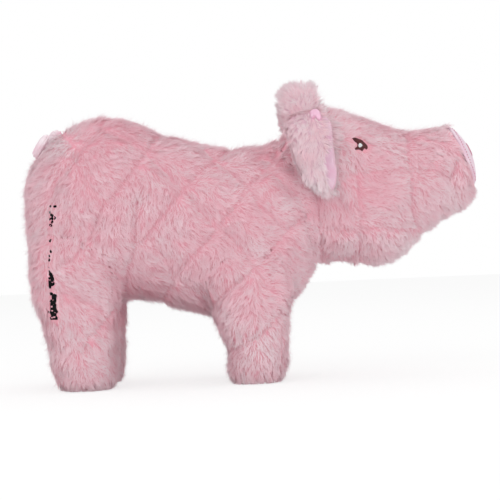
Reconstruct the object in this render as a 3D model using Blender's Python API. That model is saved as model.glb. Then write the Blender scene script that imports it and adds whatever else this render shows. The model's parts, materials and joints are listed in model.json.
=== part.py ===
"""A quilted plush pig: sewn covers, wadding, ears, snout, tail and a squeaker inside.

Lengths are in metres. The pig stands on the ground at z = 0, its snout points along +X
and its left side is +Y. Names that end in share or shares hold parts of the sizes that
they follow.
"""
import math

import bmesh
import bpy
from mathutils import Matrix, Vector
from mathutils.bvhtree import BVHTree

# Trunk
TRUNK_LENGTH = 0.210
TRUNK_HEIGHT = 0.146
TRUNK_WIDTH = 0.104
BELLY_HEIGHT = 0.047
TRUNK_ROUNDNESS = 2.3
# along the trunk from the rump, lower edge, upper edge, half width
TRUNK_SHARES = (
    (0.000, 0.45, 0.66, 0.23),
    (0.014, 0.28, 0.75, 0.50),
    (0.048, 0.18, 0.825, 0.71),
    (0.105, 0.12, 0.91, 0.86),
    (0.181, 0.10, 0.97, 0.96),
    (0.276, 0.10, 1.00, 1.00),
    (0.371, 0.12, 0.97, 0.98),
    (0.481, 0.07, 0.90, 0.92),
    (0.600, 0.02, 0.855, 0.885),
    (0.719, 0.00, 0.825, 0.90),
    (0.829, 0.02, 0.83, 0.88),
    (0.905, 0.10, 0.84, 0.79),
    (0.957, 0.21, 0.78, 0.62),
    (1.000, 0.37, 0.64, 0.31),
)

# Head, whose front end is cut off at a slant for the snout pad
HEAD_LENGTH = 0.133
HEAD_HEIGHT = 0.108
HEAD_WIDTH = 0.078
HEAD_LIFT = 0.092
HEAD_ROUNDNESS = 2.3
HEAD_PLACE_SHARE = 0.860
SNOUT_TILT = math.radians(21.5)
# along the head, centre up from the middle, half height, half width, tilt
HEAD_SHARES = (
    (0.000, -0.18, 0.66, 0.82, 0.00),
    (0.060, -0.12, 0.82, 0.91, 0.00),
    (0.155, -0.06, 0.95, 0.98, 0.00),
    (0.282, 0.00, 1.00, 1.00, 0.00),
    (0.417, -0.06, 0.98, 1.00, 0.08),
    (0.552, -0.11, 0.925, 0.94, 0.25),
    (0.688, -0.03, 0.74, 0.82, 0.46),
    (0.808, 0.09, 0.60, 0.73, 0.71),
    (0.914, 0.15, 0.54, 0.68, 0.92),
    (0.974, 0.22, 0.48, 0.63, 1.00),
    (1.000, 0.30, 0.43, 0.575, 1.00),
)

# Quilting: straight seams that draw the covers in, seen from the side. Each runs from one
# place, along and up, to another, in shares of the trunk's length and height or of the
# head's length and half height. Both sides are quilted alike.
QUILT_DEPTH = 0.003
QUILT_REACH = 0.0075
QUILT_FADE = 0.008
QUILT_SNAP = 0.0005
TRUNK_SEAMS = (
    (0.07, 0.66, 0.28, 1.01),
    (0.22, 0.41, 0.45, 0.94),
    (0.39, 0.40, 0.72, 0.87),
    (0.44, 0.10, 0.88, 0.86),
    (0.62, 0.06, 0.95, 0.49),
    (0.21, 1.04, 0.81, 0.13),
    (0.57, 0.89, 0.93, 0.32),
    (0.41, 0.39, 0.60, 0.09),
)
HEAD_SEAMS = (
    (0.44, 0.24, 0.42, -1.05),
    (0.75, 0.80, 0.72, -0.82),
    (0.20, -0.56, 0.76, -0.61),
    (0.36, 0.21, 0.88, 0.16),
)

# Legs: their feet are round below and cut flat where they stand
LEG_SPREAD_SHARE = 0.596
LEG_ROUNDNESS = 2.2
SOLE_CUT = 0.0005
# a leg's wall is thin at the sole and whole a little way up the leg
SOLE_WALL_SHARE = 0.2
WHOLE_WALL_SHARE = 0.25
HIND_LEG_HEIGHT = 0.1225
HIND_LEG_LENGTH = 0.064
HIND_LEG_WIDTH = 0.049
HIND_LEG_PLACE_SHARE = 0.165
# up the leg, forward, half length, outward, half width
HIND_LEG_SHARES = (
    (0.000, 0.11, 0.14, 0.00, 0.16),
    (0.005, 0.11, 0.33, 0.00, 0.37),
    (0.013, 0.10, 0.44, 0.00, 0.51),
    (0.032, 0.09, 0.55, 0.00, 0.70),
    (0.070, 0.08, 0.63, 0.00, 0.86),
    (0.167, 0.05, 0.70, 0.00, 0.96),
    (0.290, 0.03, 0.74, 0.00, 0.98),
    (0.412, 0.02, 0.83, 0.00, 0.99),
    (0.535, 0.01, 0.94, 0.00, 1.00),
    (0.700, 0.00, 1.00, 0.00, 1.00),
    (0.861, 0.01, 0.97, -0.12, 0.94),
    (1.000, 0.06, 0.75, -0.45, 0.61),
)
FRONT_LEG_HEIGHT = 0.1125
FRONT_LEG_LENGTH = 0.062
FRONT_LEG_WIDTH = 0.047
FRONT_LEG_PLACE_SHARE = 0.743
FRONT_LEG_SHARES = (
    (0.000, 0.10, 0.16, 0.00, 0.16),
    (0.005, 0.10, 0.32, 0.00, 0.37),
    (0.013, 0.11, 0.43, 0.00, 0.51),
    (0.036, 0.12, 0.54, 0.00, 0.66),
    (0.076, 0.14, 0.61, 0.00, 0.76),
    (0.147, 0.16, 0.65, 0.00, 0.82),
    (0.271, 0.15, 0.69, 0.00, 0.87),
    (0.387, 0.08, 0.80, 0.00, 0.93),
    (0.538, 0.00, 0.96, 0.00, 1.00),
    (0.716, 0.00, 1.00, -0.08, 0.94),
    (0.860, 0.03, 0.88, -0.25, 0.80),
    (1.000, 0.06, 0.65, -0.45, 0.60),
)

# Cloth and seams
COVER_WALL = 0.005
SEAM_GAP = 0.0003

# Ears: both are cut alike, folded along their length and hinged at a seam
EAR_LENGTH = 0.070
EAR_WIDTH = 0.030
EAR_FOLD = 0.0036
EAR_PLUSH = 0.003
EAR_SATIN = 0.001
EAR_HEM = 0.002
EAR_CLEARANCE = 0.003
EAR_TILT = math.radians(14)
EAR_PLACE_SHARE = 0.192
EAR_ACROSS_SHARE = 0.62
EAR_SEAM_SHARE = 0.27
# along the ear, rear fold, front edge outside, front edge inside, bend radius
EAR_SHARES = (
    (0.000, -0.27, 0.27, 0.27, 0.45),
    (0.086, -0.40, 0.32, 0.36, 0.67),
    (0.200, -0.50, 0.32, 0.45, 0.89),
    (0.371, -0.53, 0.28, 0.47, 1.00),
    (0.543, -0.53, 0.18, 0.38, 0.94),
    (0.714, -0.50, 0.03, 0.32, 0.89),
    (0.829, -0.42, -0.03, 0.28, 0.80),
    (0.929, -0.27, -0.03, 0.18, 0.67),
    (1.000, -0.15, 0.00, 0.06, 0.55),
)
# the root is rounded off about the seam at these angles
EAR_ROOT_TURNS = tuple(math.radians(angle) for angle in (75, 55, 35, 15))
# heading at the root above level, straight run, heading at the tip
HANGING_ROOT = math.radians(30)
HANGING_TIP = math.radians(-90)
STANDING_ROOT = math.radians(85)
STANDING_RUN = 0.0135
STANDING_TIP = math.radians(-90)

# Snout pad and nostrils
PAD_MARGIN = 0.0006
PAD_EDGE = 0.0015
PAD_CROWN = 0.0072
PAD_ROUNDNESS = 2.1
# across the pad and up its edge, then across the pad where it swells to its crown
PAD_EDGE_SHARES = ((1.00, 0.0), (1.00, 0.5), (0.96, 1.0))
PAD_CROWN_SHARES = (0.85, 0.65, 0.40, 0.20)
NOSTRIL_HEIGHT = 0.0105
NOSTRIL_WIDTH = 0.0062
NOSTRIL_THICKNESS = 0.0009
NOSTRIL_SPACING = 0.017
NOSTRIL_RISE = 0.002
NOSTRIL_ROUNDNESS = 2.0

# Eyes
EYE_LENGTH = 0.0145
EYE_HEIGHT = 0.0098
EYE_THICKNESS = 0.0012
EYE_SLANT = math.radians(-28)
EYE_ROUNDNESS = 1.7
EYE_PLACE_SHARE = 0.461
EYE_UP_SHARE = 0.525
LIGHT_WIDTH = 0.0036
LIGHT_THICKNESS = 0.0006
LIGHT_ROUNDNESS = 2.0
LIGHT_BACK_SHARE = 0.03
LIGHT_UP_SHARE = 0.02
# rings of an embroidered patch from its edge inward, and how thick it is at its edge
PATCH_SHARES = (1.0, 0.8, 0.5)
PATCH_EDGE_SHARE = 0.4

# Tail: a curled tube that lies on the rump and hinges at its upper end
TAIL_RADIUS = 0.0042
TAIL_TIP_RADIUS = 0.0028
TAIL_LOOP_LENGTH = 0.0205
TAIL_LOOP_WIDTH = 0.015
TAIL_STEM = 0.0012
TAIL_RISE = 0.0036
TAIL_TURN = math.radians(300)
TAIL_PLACE_SHARE = 0.074
TAIL_ASIDE = 0.004
# the stem is reached this far along, and the rise to the tip starts here
TAIL_STEM_SHARE = 0.25
TAIL_RISE_SHARE = 0.4
# how far each end is rounded off, and how thin it is there
TAIL_END_SHARES = (0.7, 0.62)

# Tape over the closing seam, placed back from the middle of the hind leg
TAPE_WIDTH = 0.0058
TAPE_THICKNESS = 0.0009
TAPE_LOW_UP_SHARE = 0.027
TAPE_HIGH_UP_SHARE = 0.596
TAPE_LOW_BACK_SHARE = 0.318
TAPE_HIGH_BACK_SHARE = 0.279

# Squeaker inside the trunk
BULB_WIDTH = 0.044
BULB_HEIGHT = 0.024
BULB_WALL = 0.0014
BULB_MOUTH = 0.0090
WHISTLE_WALL = 0.0012
WHISTLE_LENGTH = 0.009
WHISTLE_FLANGE = 0.0015
WHISTLE_LIP = 0.0012
REED_WIDTH = 0.0022
REED_THICKNESS = 0.0004
POUCH_ROOM = 0.0012
POUCH_WALL = 0.0012
POCKET_ROOM = 0.0012
SQUEAKER_PLACE_SHARE = 0.50
SQUEAKER_UP_SHARE = 0.45

# How finely things are cut, and how far a search starts above a surface
FINE_AROUND = 24
PLAIN_AROUND = 16
LEG_AROUND = 16
LEG_PLAIN_AROUND = 12
ROUND_AROUND = 16
PATCH_AROUND = 12
LENS_STEPS = 8
EAR_STEPS = 4
TAIL_AROUND = 10
TAIL_STEPS = 22
TAPE_ROWS = 24
TAPE_COLUMNS = 3
SETTLING_ROUNDS = 6
OVERRUN = 0.010

# Finishes: colour and roughness
PLUSH = ((0.73, 0.42, 0.48, 1.0), 0.95)
PLUSH_EAR = ((0.75, 0.52, 0.57, 1.0), 0.95)
SATIN = ((0.77, 0.44, 0.60, 1.0), 0.35)
PAD_SATIN = ((0.79, 0.50, 0.58, 1.0), 0.35)
TAIL_SATIN = ((0.80, 0.53, 0.62, 1.0), 0.35)
WADDING = ((0.86, 0.86, 0.84, 1.0), 1.0)
EYE_THREAD = ((0.08, 0.012, 0.018, 1.0), 0.55)
WHITE_THREAD = ((0.85, 0.85, 0.83, 1.0), 0.6)
NOSE_THREAD = ((0.60, 0.20, 0.30, 1.0), 0.55)
BLACK_TAPE = ((0.010, 0.010, 0.012, 1.0), 0.75)
POUCH_CLOTH = ((0.70, 0.70, 0.68, 1.0), 0.9)
SOFT_PLASTIC = ((0.82, 0.82, 0.80, 1.0), 0.4)

# Places worked out from the sizes above
HEAD_START = HEAD_PLACE_SHARE * TRUNK_LENGTH
SNOUT_REACH = HEAD_SHARES[-1][2] * HEAD_HEIGHT / 2 * math.sin(SNOUT_TILT) + PAD_EDGE
RUMP_X = -(HEAD_START + HEAD_LENGTH + SNOUT_REACH) / 2
HEAD_X = RUMP_X + HEAD_START
HEAD_Z = BELLY_HEIGHT + HEAD_LIFT
LEG_SPREAD = LEG_SPREAD_SHARE * TRUNK_WIDTH
RIGHT, LEFT = -1, 1
HIND_LEG = (HIND_LEG_SHARES, HIND_LEG_PLACE_SHARE, HIND_LEG_HEIGHT,
            HIND_LEG_LENGTH, HIND_LEG_WIDTH)
FRONT_LEG = (FRONT_LEG_SHARES, FRONT_LEG_PLACE_SHARE, FRONT_LEG_HEIGHT,
             FRONT_LEG_LENGTH, FRONT_LEG_WIDTH)
LEGS = (("right_hind_leg", HIND_LEG, RIGHT), ("left_hind_leg", HIND_LEG, LEFT),
        ("right_front_leg", FRONT_LEG, RIGHT), ("left_front_leg", FRONT_LEG, LEFT))


def clear_scene():
    for item in list(bpy.data.objects):
        bpy.data.objects.remove(item, do_unlink=True)


def material(name, look):
    colour, roughness = look
    made = bpy.data.materials.get(name) or bpy.data.materials.new(name)
    made.use_nodes = True
    shader = made.node_tree.nodes["Principled BSDF"]
    shader.inputs["Base Color"].default_value = colour
    shader.inputs["Roughness"].default_value = roughness
    shader.inputs["Metallic"].default_value = 0.0
    made.diffuse_color = colour
    return made


def add_object(name, mesh):
    item = bpy.data.objects.new(name, mesh)
    bpy.context.scene.collection.objects.link(item)
    return item


def finish_mesh(name, work):
    """Turn a bmesh into an object with triangles that face out."""
    bmesh.ops.remove_doubles(work, verts=work.verts[:], dist=SEAM_GAP / 1000)
    bmesh.ops.triangulate(work, faces=work.faces[:])
    bmesh.ops.recalc_face_normals(work, faces=work.faces[:])
    mesh = bpy.data.meshes.new(name)
    work.to_mesh(mesh)
    work.free()
    return add_object(name, mesh)


def dress(item, name, look, origin, pivot=None, sharp=math.radians(50)):
    """Give a finished piece its name, material, smooth shading and origin.

    A piece that moves hangs on its pivot, which stands at the same origin.
    """
    item.name = name
    item.data.name = name
    item.data.materials.clear()
    item.data.materials.append(material(name + "_finish", look))
    item.data.shade_smooth()
    item.data.set_sharp_from_angle(angle=sharp)
    item.data.transform(Matrix.Translation(-origin))
    if pivot:
        item.parent = pivot
    else:
        item.location = origin
    bpy.context.view_layer.update()
    return item


def add_pivot(name, place, axis):
    """An empty on a joint's axis."""
    pivot = add_object(name, None)
    pivot.empty_display_size = EAR_WIDTH
    pivot.location = place
    print(name, "at", tuple(place), "axis", tuple(axis))
    return pivot


def discard(*items):
    for item in items:
        bpy.data.objects.remove(item, do_unlink=True)


def superellipse(count, power):
    """Points round a unit superellipse, as (side, up) pairs."""
    points = []
    for step in range(count):
        turn = math.tau * step / count
        side, up = math.cos(turn), math.sin(turn)
        points.append((math.copysign(abs(side) ** (2 / power), side),
                       math.copysign(abs(up) ** (2 / power), up)))
    return points


def smooth_rows(rows, parts):
    """Rows of a table with others added between them on a smooth curve."""
    made = []
    for index in range(len(rows) - 1):
        before = rows[max(index - 1, 0)]
        start, end = rows[index], rows[index + 1]
        after = rows[min(index + 2, len(rows) - 1)]
        for part in range(parts):
            t = part / parts
            made.append(tuple(
                (2 * q + (r - p) * t + (2 * p - 5 * q + 4 * r - s) * t ** 2
                 + (3 * q - p - 3 * r + s) * t ** 3) / 2
                for p, q, r, s in zip(before, start, end, after)))
    made.append(tuple(rows[-1]))
    return made


def skin(work, rings, closed_rings=True):
    """Join rings of corners with faces."""
    count = len(rings[0])
    last = count if closed_rings else count - 1
    for low, high in zip(rings, rings[1:]):
        for step in range(last):
            after = (step + 1) % count
            work.faces.new((low[step], low[after], high[after], high[step]))


def fan(work, ring, middle):
    """Close a ring of corners with triangles to a point."""
    point = work.verts.new(middle)
    for step in range(len(ring)):
        work.faces.new((ring[step], ring[(step + 1) % len(ring)], point))


def loft(name, sections, around, power):
    """A closed body through sections, each a (centre, side, up) of vectors."""
    work = bmesh.new()
    unit = superellipse(around, power)
    rings = [[work.verts.new(centre + side * s + up * u) for s, u in unit]
             for centre, side, up in sections]
    skin(work, rings)
    fan(work, rings[0], sections[0][0])
    fan(work, rings[-1], sections[-1][0])
    return finish_mesh(name, work)


def box(name, low, high):
    """A plain box between two corners."""
    work = bmesh.new()
    bmesh.ops.create_cube(work, size=1)
    size = high - low
    for corner in work.verts:
        unit = corner.co + Vector((1, 1, 1)) / 2
        corner.co = low + Vector(part * whole for part, whole in zip(unit, size))
    return finish_mesh(name, work)


def turned(name, profile, centre, closed=False):
    """Turn a profile of (radius, place) round a line along Y."""
    work = bmesh.new()
    rings = []
    for radius, place in profile:
        if radius == 0:
            rings.append([work.verts.new(centre + Vector((0, place, 0)))] * ROUND_AROUND)
            continue
        turns = [math.tau * step / ROUND_AROUND for step in range(ROUND_AROUND)]
        rings.append([work.verts.new(centre + Vector((
            radius * math.cos(turn), place, radius * math.sin(turn)))) for turn in turns])
    if closed:
        rings.append(rings[0])
    for low, high in zip(rings, rings[1:]):
        for step in range(ROUND_AROUND):
            after = (step + 1) % ROUND_AROUND
            corners = []
            for corner in (low[step], low[after], high[after], high[step]):
                if corner not in corners:
                    corners.append(corner)
            work.faces.new(corners)
    return finish_mesh(name, work)


def lens_arc(half_width, half_height, end):
    """Points on an upright ellipse from its lower pole to an angle."""
    points = []
    for step in range(LENS_STEPS + 1):
        angle = end * step / LENS_STEPS
        radius = 0 if angle in (0, math.pi) else half_width * math.sin(angle)
        points.append((radius, -half_height * math.cos(angle)))
    return points


def lens(name, centre, half_width, half_height):
    """A closed, flattened ball."""
    return turned(name, lens_arc(half_width, half_height, math.pi), centre)


def hollow_lens(name, centre, half_width, half_height, wall, mouth, side):
    """A flattened ball with a round mouth on one side and a wall all round."""
    outer_end = math.pi - math.asin(mouth / half_width)
    inner_end = math.pi - math.asin(mouth / (half_width - wall))
    profile = lens_arc(half_width, half_height, outer_end)
    profile += reversed(lens_arc(half_width - wall, half_height - wall, inner_end))
    return turned(name, [(radius, side * place) for radius, place in profile], centre)


def tube(name, path, radii, around):
    """A round tube along a path of points, closed at both ends."""
    work = bmesh.new()
    rings = []
    side = Vector((0, 1, 0))
    for index, point in enumerate(path):
        ahead = path[min(index + 1, len(path) - 1)] - path[max(index - 1, 0)]
        ahead.normalize()
        side = (side - ahead * side.dot(ahead)).normalized()
        up = ahead.cross(side)
        turns = [math.tau * step / around for step in range(around)]
        rings.append([work.verts.new(point + radii[index] * (
            side * math.cos(turn) + up * math.sin(turn))) for turn in turns])
    skin(work, rings)
    fan(work, rings[0], path[0])
    fan(work, rings[-1], path[-1])
    return finish_mesh(name, work)


def boolean(item, *cutters):
    """Cut an object with others and keep only the result."""
    for cutter in cutters:
        modifier = item.modifiers.new("cut", "BOOLEAN")
        modifier.operation = "DIFFERENCE"
        modifier.solver = "EXACT"
        modifier.object = cutter
        bpy.context.view_layer.update()
        graph = bpy.context.evaluated_depsgraph_get()
        mesh = bpy.data.meshes.new_from_object(item.evaluated_get(graph))
        item.modifiers.clear()
        old = item.data
        item.data = mesh
        bpy.data.meshes.remove(old)
        work = bmesh.new()
        work.from_mesh(mesh)
        bmesh.ops.dissolve_degenerate(work, edges=work.edges[:], dist=SEAM_GAP / 100)
        bmesh.ops.triangulate(work, faces=work.faces[:])
        work.to_mesh(mesh)
        work.free()
    discard(*cutters)


def tree_of(*items):
    """A search tree over the faces of several objects."""
    corners, faces = [], []
    for item in items:
        first = len(corners)
        corners += [item.matrix_world @ vertex.co for vertex in item.data.vertices]
        faces += [[first + corner for corner in face.vertices]
                  for face in item.data.polygons]
    return BVHTree.FromPolygons(corners, faces)


def rest_on(tree, above, down, reach):
    """The point under another one that lies just a reach away from a surface."""
    ground = tree.ray_cast(above, down)[0]
    lift = reach
    for _ in range(SETTLING_ROUNDS):
        lift += reach - tree.find_nearest(ground - down * lift)[3]
    return ground - down * lift


def trunk_sections(inside, parts):
    """Sections along the trunk, drawn in by a wall."""
    sections = []
    for along, low, high, wide in smooth_rows(TRUNK_SHARES, parts):
        x = RUMP_X + inside + along * (TRUNK_LENGTH - 2 * inside)
        lower = BELLY_HEIGHT + low * TRUNK_HEIGHT + inside
        upper = BELLY_HEIGHT + high * TRUNK_HEIGHT - inside
        sections.append((Vector((x, 0, (lower + upper) / 2)),
                         Vector((0, wide * TRUNK_WIDTH / 2 - inside, 0)),
                         Vector((0, 0, (upper - lower) / 2))))
    return sections


def head_sections(inside, parts):
    """Sections along the head, the front ones leaning back with the snout."""
    sections = []
    for along, rise, tall, wide, lean in smooth_rows(HEAD_SHARES, parts):
        tilt = lean * SNOUT_TILT
        middle = Vector((HEAD_X + inside + along * (HEAD_LENGTH - 2 * inside), 0,
                         HEAD_Z + rise * HEAD_HEIGHT / 2))
        up = Vector((-math.sin(tilt), 0, math.cos(tilt)))
        sections.append((middle, Vector((0, wide * HEAD_WIDTH / 2 - inside, 0)),
                         up * (tall * HEAD_HEIGHT / 2 - inside)))
    return sections


def leg_middle(leg, side):
    """Where a leg's middle line stands on the ground."""
    place_share = leg[1]
    return Vector((RUMP_X + place_share * TRUNK_LENGTH, side * LEG_SPREAD / 2, 0))


def leg_sections(leg, side, inside, parts):
    """Sections up a leg, from the round underside of its foot."""
    table, _, height, length, width = leg
    sections = []
    for above, ahead, long, outward, wide in smooth_rows(table, parts):
        shrink = inside * min(1, SOLE_WALL_SHARE + above / WHOLE_WALL_SHARE)
        z = -SOLE_CUT + inside + above * (height - 2 * inside)
        middle = leg_middle(leg, side) + Vector((
            ahead * length / 2, side * outward * width / 2, z))
        sections.append((middle, Vector((long * length / 2 - shrink, 0, 0)),
                         Vector((0, wide * width / 2 - shrink, 0))))
    return sections


def trunk_body(name, inside, around=PLAIN_AROUND, parts=1):
    return loft(name, trunk_sections(inside, parts), around, TRUNK_ROUNDNESS)


def head_body(name, inside, around=PLAIN_AROUND, parts=1):
    return loft(name, head_sections(inside, parts), around, HEAD_ROUNDNESS)


def leg_body(name, leg, side, inside, around=LEG_PLAIN_AROUND, parts=1):
    return loft(name, leg_sections(leg, side, inside, parts), around, LEG_ROUNDNESS)


def trunk_outside():
    """The trunk's outer shape with a seam's gap round it, to cut its neighbours."""
    return trunk_body("trunk", -SEAM_GAP, FINE_AROUND, 2)


def trunk_origin():
    return Vector((RUMP_X + TRUNK_LENGTH / 2, 0, BELLY_HEIGHT + TRUNK_HEIGHT / 2))


def head_origin():
    return Vector((HEAD_X, 0, HEAD_Z))


def seam_frame(start, end):
    """How long a seam is, which way it runs and which way its plane faces."""
    run = end - start
    ahead = run.normalized()
    return run.length, ahead, Vector((-ahead.z, 0, ahead.x))


def seam_depth(spot, start, end):
    """How far a seam draws in a spot of the cover."""
    length, ahead, facing = seam_frame(start, end)
    along, aside = (spot - start).dot(ahead), abs((spot - start).dot(facing))
    return QUILT_DEPTH * max(0, min(1 - aside / QUILT_REACH, along / QUILT_FADE,
                                    (length - along) / QUILT_FADE))


def quilt(item, low, size, shares):
    """Cut a body's faces along its quilting seams and draw the seams in."""
    seams = [(low + Vector((size.x * row[0], 0, size.z * row[1])),
              low + Vector((size.x * row[2], 0, size.z * row[3]))) for row in shares]
    work = bmesh.new()
    work.from_mesh(item.data)
    for start, end in seams:
        length, ahead, facing = seam_frame(start, end)
        for aside in (-QUILT_REACH, 0, QUILT_REACH):
            near = [face for face in work.faces
                    if any(0 < (corner.co - start).dot(ahead) < length
                           for corner in face.verts)]
            parts = {part for face in near for part in (face, *face.edges, *face.verts)}
            bmesh.ops.bisect_plane(work, geom=list(parts), dist=QUILT_SNAP,
                                   plane_co=start + facing * aside, plane_no=facing)
    bmesh.ops.triangulate(work, faces=work.faces[:])
    work.normal_update()
    moves = [(corner, corner.normal * max(seam_depth(corner.co, *seam) for seam in seams))
             for corner in work.verts]
    for corner, move in moves:
        corner.co -= move
    work.to_mesh(item.data)
    work.free()


def cut_sole(item):
    """Cut a foot flat at the ground."""
    work = bmesh.new()
    work.from_mesh(item.data)
    cut = bmesh.ops.bisect_plane(
        work, geom=work.verts[:] + work.edges[:] + work.faces[:],
        plane_co=(0, 0, 0), plane_no=(0, 0, -1), clear_outer=True)
    rim = [part for part in cut["geom_cut"] if isinstance(part, bmesh.types.BMEdge)]
    bmesh.ops.contextual_create(work, geom=rim)
    bmesh.ops.triangulate(work, faces=work.faces[:])
    bmesh.ops.recalc_face_normals(work, faces=work.faces[:])
    work.to_mesh(item.data)
    work.free()


def make_trunk_cover():
    """The trunk's shell, open to the head and to each leg."""
    cover = trunk_body("trunk_cover", 0, FINE_AROUND, 2)
    quilt(cover, Vector((RUMP_X, 0, BELLY_HEIGHT)),
          Vector((TRUNK_LENGTH, 0, TRUNK_HEIGHT)), TRUNK_SEAMS)
    holes = [leg_body("leg_hole", leg, side, COVER_WALL) for _, leg, side in LEGS]
    boolean(cover, trunk_body("hollow", COVER_WALL), head_body("neck_hole", COVER_WALL), *holes)
    return dress(cover, "trunk_cover", PLUSH, trunk_origin())


def make_head_cover():
    """The head's shell, open at the neck and cut by the trunk."""
    cover = head_body("head_cover", 0, FINE_AROUND, 2)
    quilt(cover, head_origin(), Vector((HEAD_LENGTH, 0, HEAD_HEIGHT / 2)), HEAD_SEAMS)
    boolean(cover, head_body("hollow", COVER_WALL), trunk_outside())
    return dress(cover, "head_cover", PLUSH, head_origin())


def make_leg_cover(name, leg, side):
    """A leg's shell, cut by the trunk and flat where it stands."""
    cover = leg_body(name, leg, side, 0, LEG_AROUND)
    cut_sole(cover)
    boolean(cover, leg_body("hollow", leg, side, COVER_WALL), trunk_outside())
    return dress(cover, name + "_cover", PLUSH, leg_middle(leg, side))


def make_trunk_wadding():
    """Both halves of the trunk's filling, with the pocket for the squeaker."""
    centre = squeaker_centre()
    top = BELLY_HEIGHT + 2 * TRUNK_HEIGHT
    for name, start, end in (
            ("trunk_wadding_rear", centre.x - SEAM_GAP / 2, centre.x + TRUNK_LENGTH),
            ("trunk_wadding_front", centre.x - TRUNK_LENGTH, centre.x + SEAM_GAP / 2)):
        half = trunk_body(name, COVER_WALL + SEAM_GAP)
        other = box("other_half", Vector((start, -TRUNK_WIDTH, 0)),
                    Vector((end, TRUNK_WIDTH, top)))
        pocket = lens("pocket", centre, pouch_half_width() + POCKET_ROOM,
                      pouch_half_height() + POCKET_ROOM)
        boolean(half, other, pocket)
        dress(half, name, WADDING, centre)


def make_head_wadding():
    """The head's filling, which meets the trunk's at the neck."""
    filling = head_body("head_wadding", COVER_WALL + SEAM_GAP)
    boolean(filling, trunk_body("trunk", COVER_WALL))
    dress(filling, "head_wadding", WADDING, head_origin())


def make_leg_wadding(name, leg, side):
    """A leg's filling, which meets the trunk's through the hole in its cover."""
    filling = leg_body(name, leg, side, COVER_WALL + SEAM_GAP)
    boolean(filling, trunk_body("trunk", COVER_WALL))
    dress(filling, name + "_wadding", WADDING, leg_middle(leg, side))


def squeaker_centre():
    return Vector((RUMP_X + SQUEAKER_PLACE_SHARE * TRUNK_LENGTH, 0,
                   BELLY_HEIGHT + SQUEAKER_UP_SHARE * TRUNK_HEIGHT))


def pouch_half_width():
    return BULB_WIDTH / 2 + POUCH_ROOM + POUCH_WALL


def pouch_half_height():
    return BULB_HEIGHT / 2 + WHISTLE_FLANGE + POUCH_ROOM + POUCH_WALL


def bulb_top():
    """How far beside the bulb's middle its mouth lies."""
    return BULB_HEIGHT / 2 * math.sqrt(1 - (BULB_MOUTH / BULB_WIDTH) ** 2)


def make_squeaker():
    """The bulb with its whistle and reed, in a pouch."""
    centre = squeaker_centre()
    mouth = BULB_MOUTH / 2
    bulb = hollow_lens("bulb", centre, BULB_WIDTH / 2, BULB_HEIGHT / 2, BULB_WALL, mouth, LEFT)
    pouch = hollow_lens("pouch", centre, pouch_half_width(), pouch_half_height(),
                        POUCH_WALL, mouth, RIGHT)
    outer = mouth - SEAM_GAP
    bore = outer - WHISTLE_WALL
    seat = bulb_top() + SEAM_GAP
    foot = seat - WHISTLE_LENGTH
    whistle = turned("whistle", (
        (bore, foot), (outer, foot), (outer, seat), (outer + WHISTLE_LIP, seat),
        (outer + WHISTLE_LIP, seat + WHISTLE_FLANGE), (bore, seat + WHISTLE_FLANGE)),
        centre, closed=True)
    flat = bore * math.cos(math.pi / ROUND_AROUND) - SEAM_GAP
    drop = math.sqrt(flat ** 2 - (REED_WIDTH / 2) ** 2)
    reed = box("reed",
               centre + Vector((-REED_WIDTH / 2, foot + WHISTLE_FLANGE, REED_THICKNESS - drop)),
               centre + Vector((REED_WIDTH / 2, seat, -drop)))
    dress(bulb, "squeaker_bulb", SOFT_PLASTIC, centre)
    dress(pouch, "squeaker_pouch", POUCH_CLOTH, centre)
    dress(whistle, "squeaker_whistle", SOFT_PLASTIC, centre)
    dress(reed, "squeaker_reed", SOFT_PLASTIC, centre)


def ear_axis():
    return Vector((math.cos(EAR_TILT), 0, math.sin(EAR_TILT)))


def ear_root_radius():
    """How thick the root of an ear is on each side of its hinge line."""
    return EAR_SHARES[0][4] * EAR_FOLD + EAR_PLUSH


def ear_hinge(side, tree):
    """The middle of an ear's seam, raised until its root clears the head."""
    reach = ear_root_radius() + SEAM_GAP
    above = Vector((HEAD_X + EAR_PLACE_SHARE * HEAD_LENGTH,
                    side * EAR_ACROSS_SHARE * HEAD_WIDTH / 2, HEAD_Z + HEAD_HEIGHT))
    ground, normal = tree.ray_cast(above, Vector((0, 0, -1)))[:2]
    half_seam = ear_axis() * EAR_SEAM_SHARE * EAR_WIDTH
    steps = [half_seam * part / EAR_STEPS for part in range(-EAR_STEPS, EAR_STEPS + 1)]
    lift = reach
    for _ in range(SETTLING_ROUNDS):
        middle = ground + normal * lift
        lift += reach - min(tree.find_nearest(middle + step)[3] for step in steps)
    return ground + normal * lift


def ear_bend(hinge, root, run, tip):
    """The bend radius that hangs an ear just clear of the widest part of the head."""
    reach = HEAD_WIDTH / 2 + EAR_CLEARANCE + EAR_PLUSH + EAR_FOLD - abs(hinge.y)
    return (reach - run * math.cos(root)) / (math.sin(root) - math.sin(tip))


def ear_path(distance, root, run, bend, tip):
    """Where an ear's middle line is, outward and up from its seam, and its heading."""
    first = min(distance, run)
    outward, up = first * math.cos(root), first * math.sin(root)
    heading = root - min(max(distance - run, 0) / bend, root - tip)
    outward += bend * (math.sin(root) - math.sin(heading))
    up += bend * (math.cos(heading) - math.cos(root))
    rest = max(distance - run - bend * (root - tip), 0)
    return outward + rest * math.cos(heading), up + rest * math.sin(heading), heading


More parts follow.
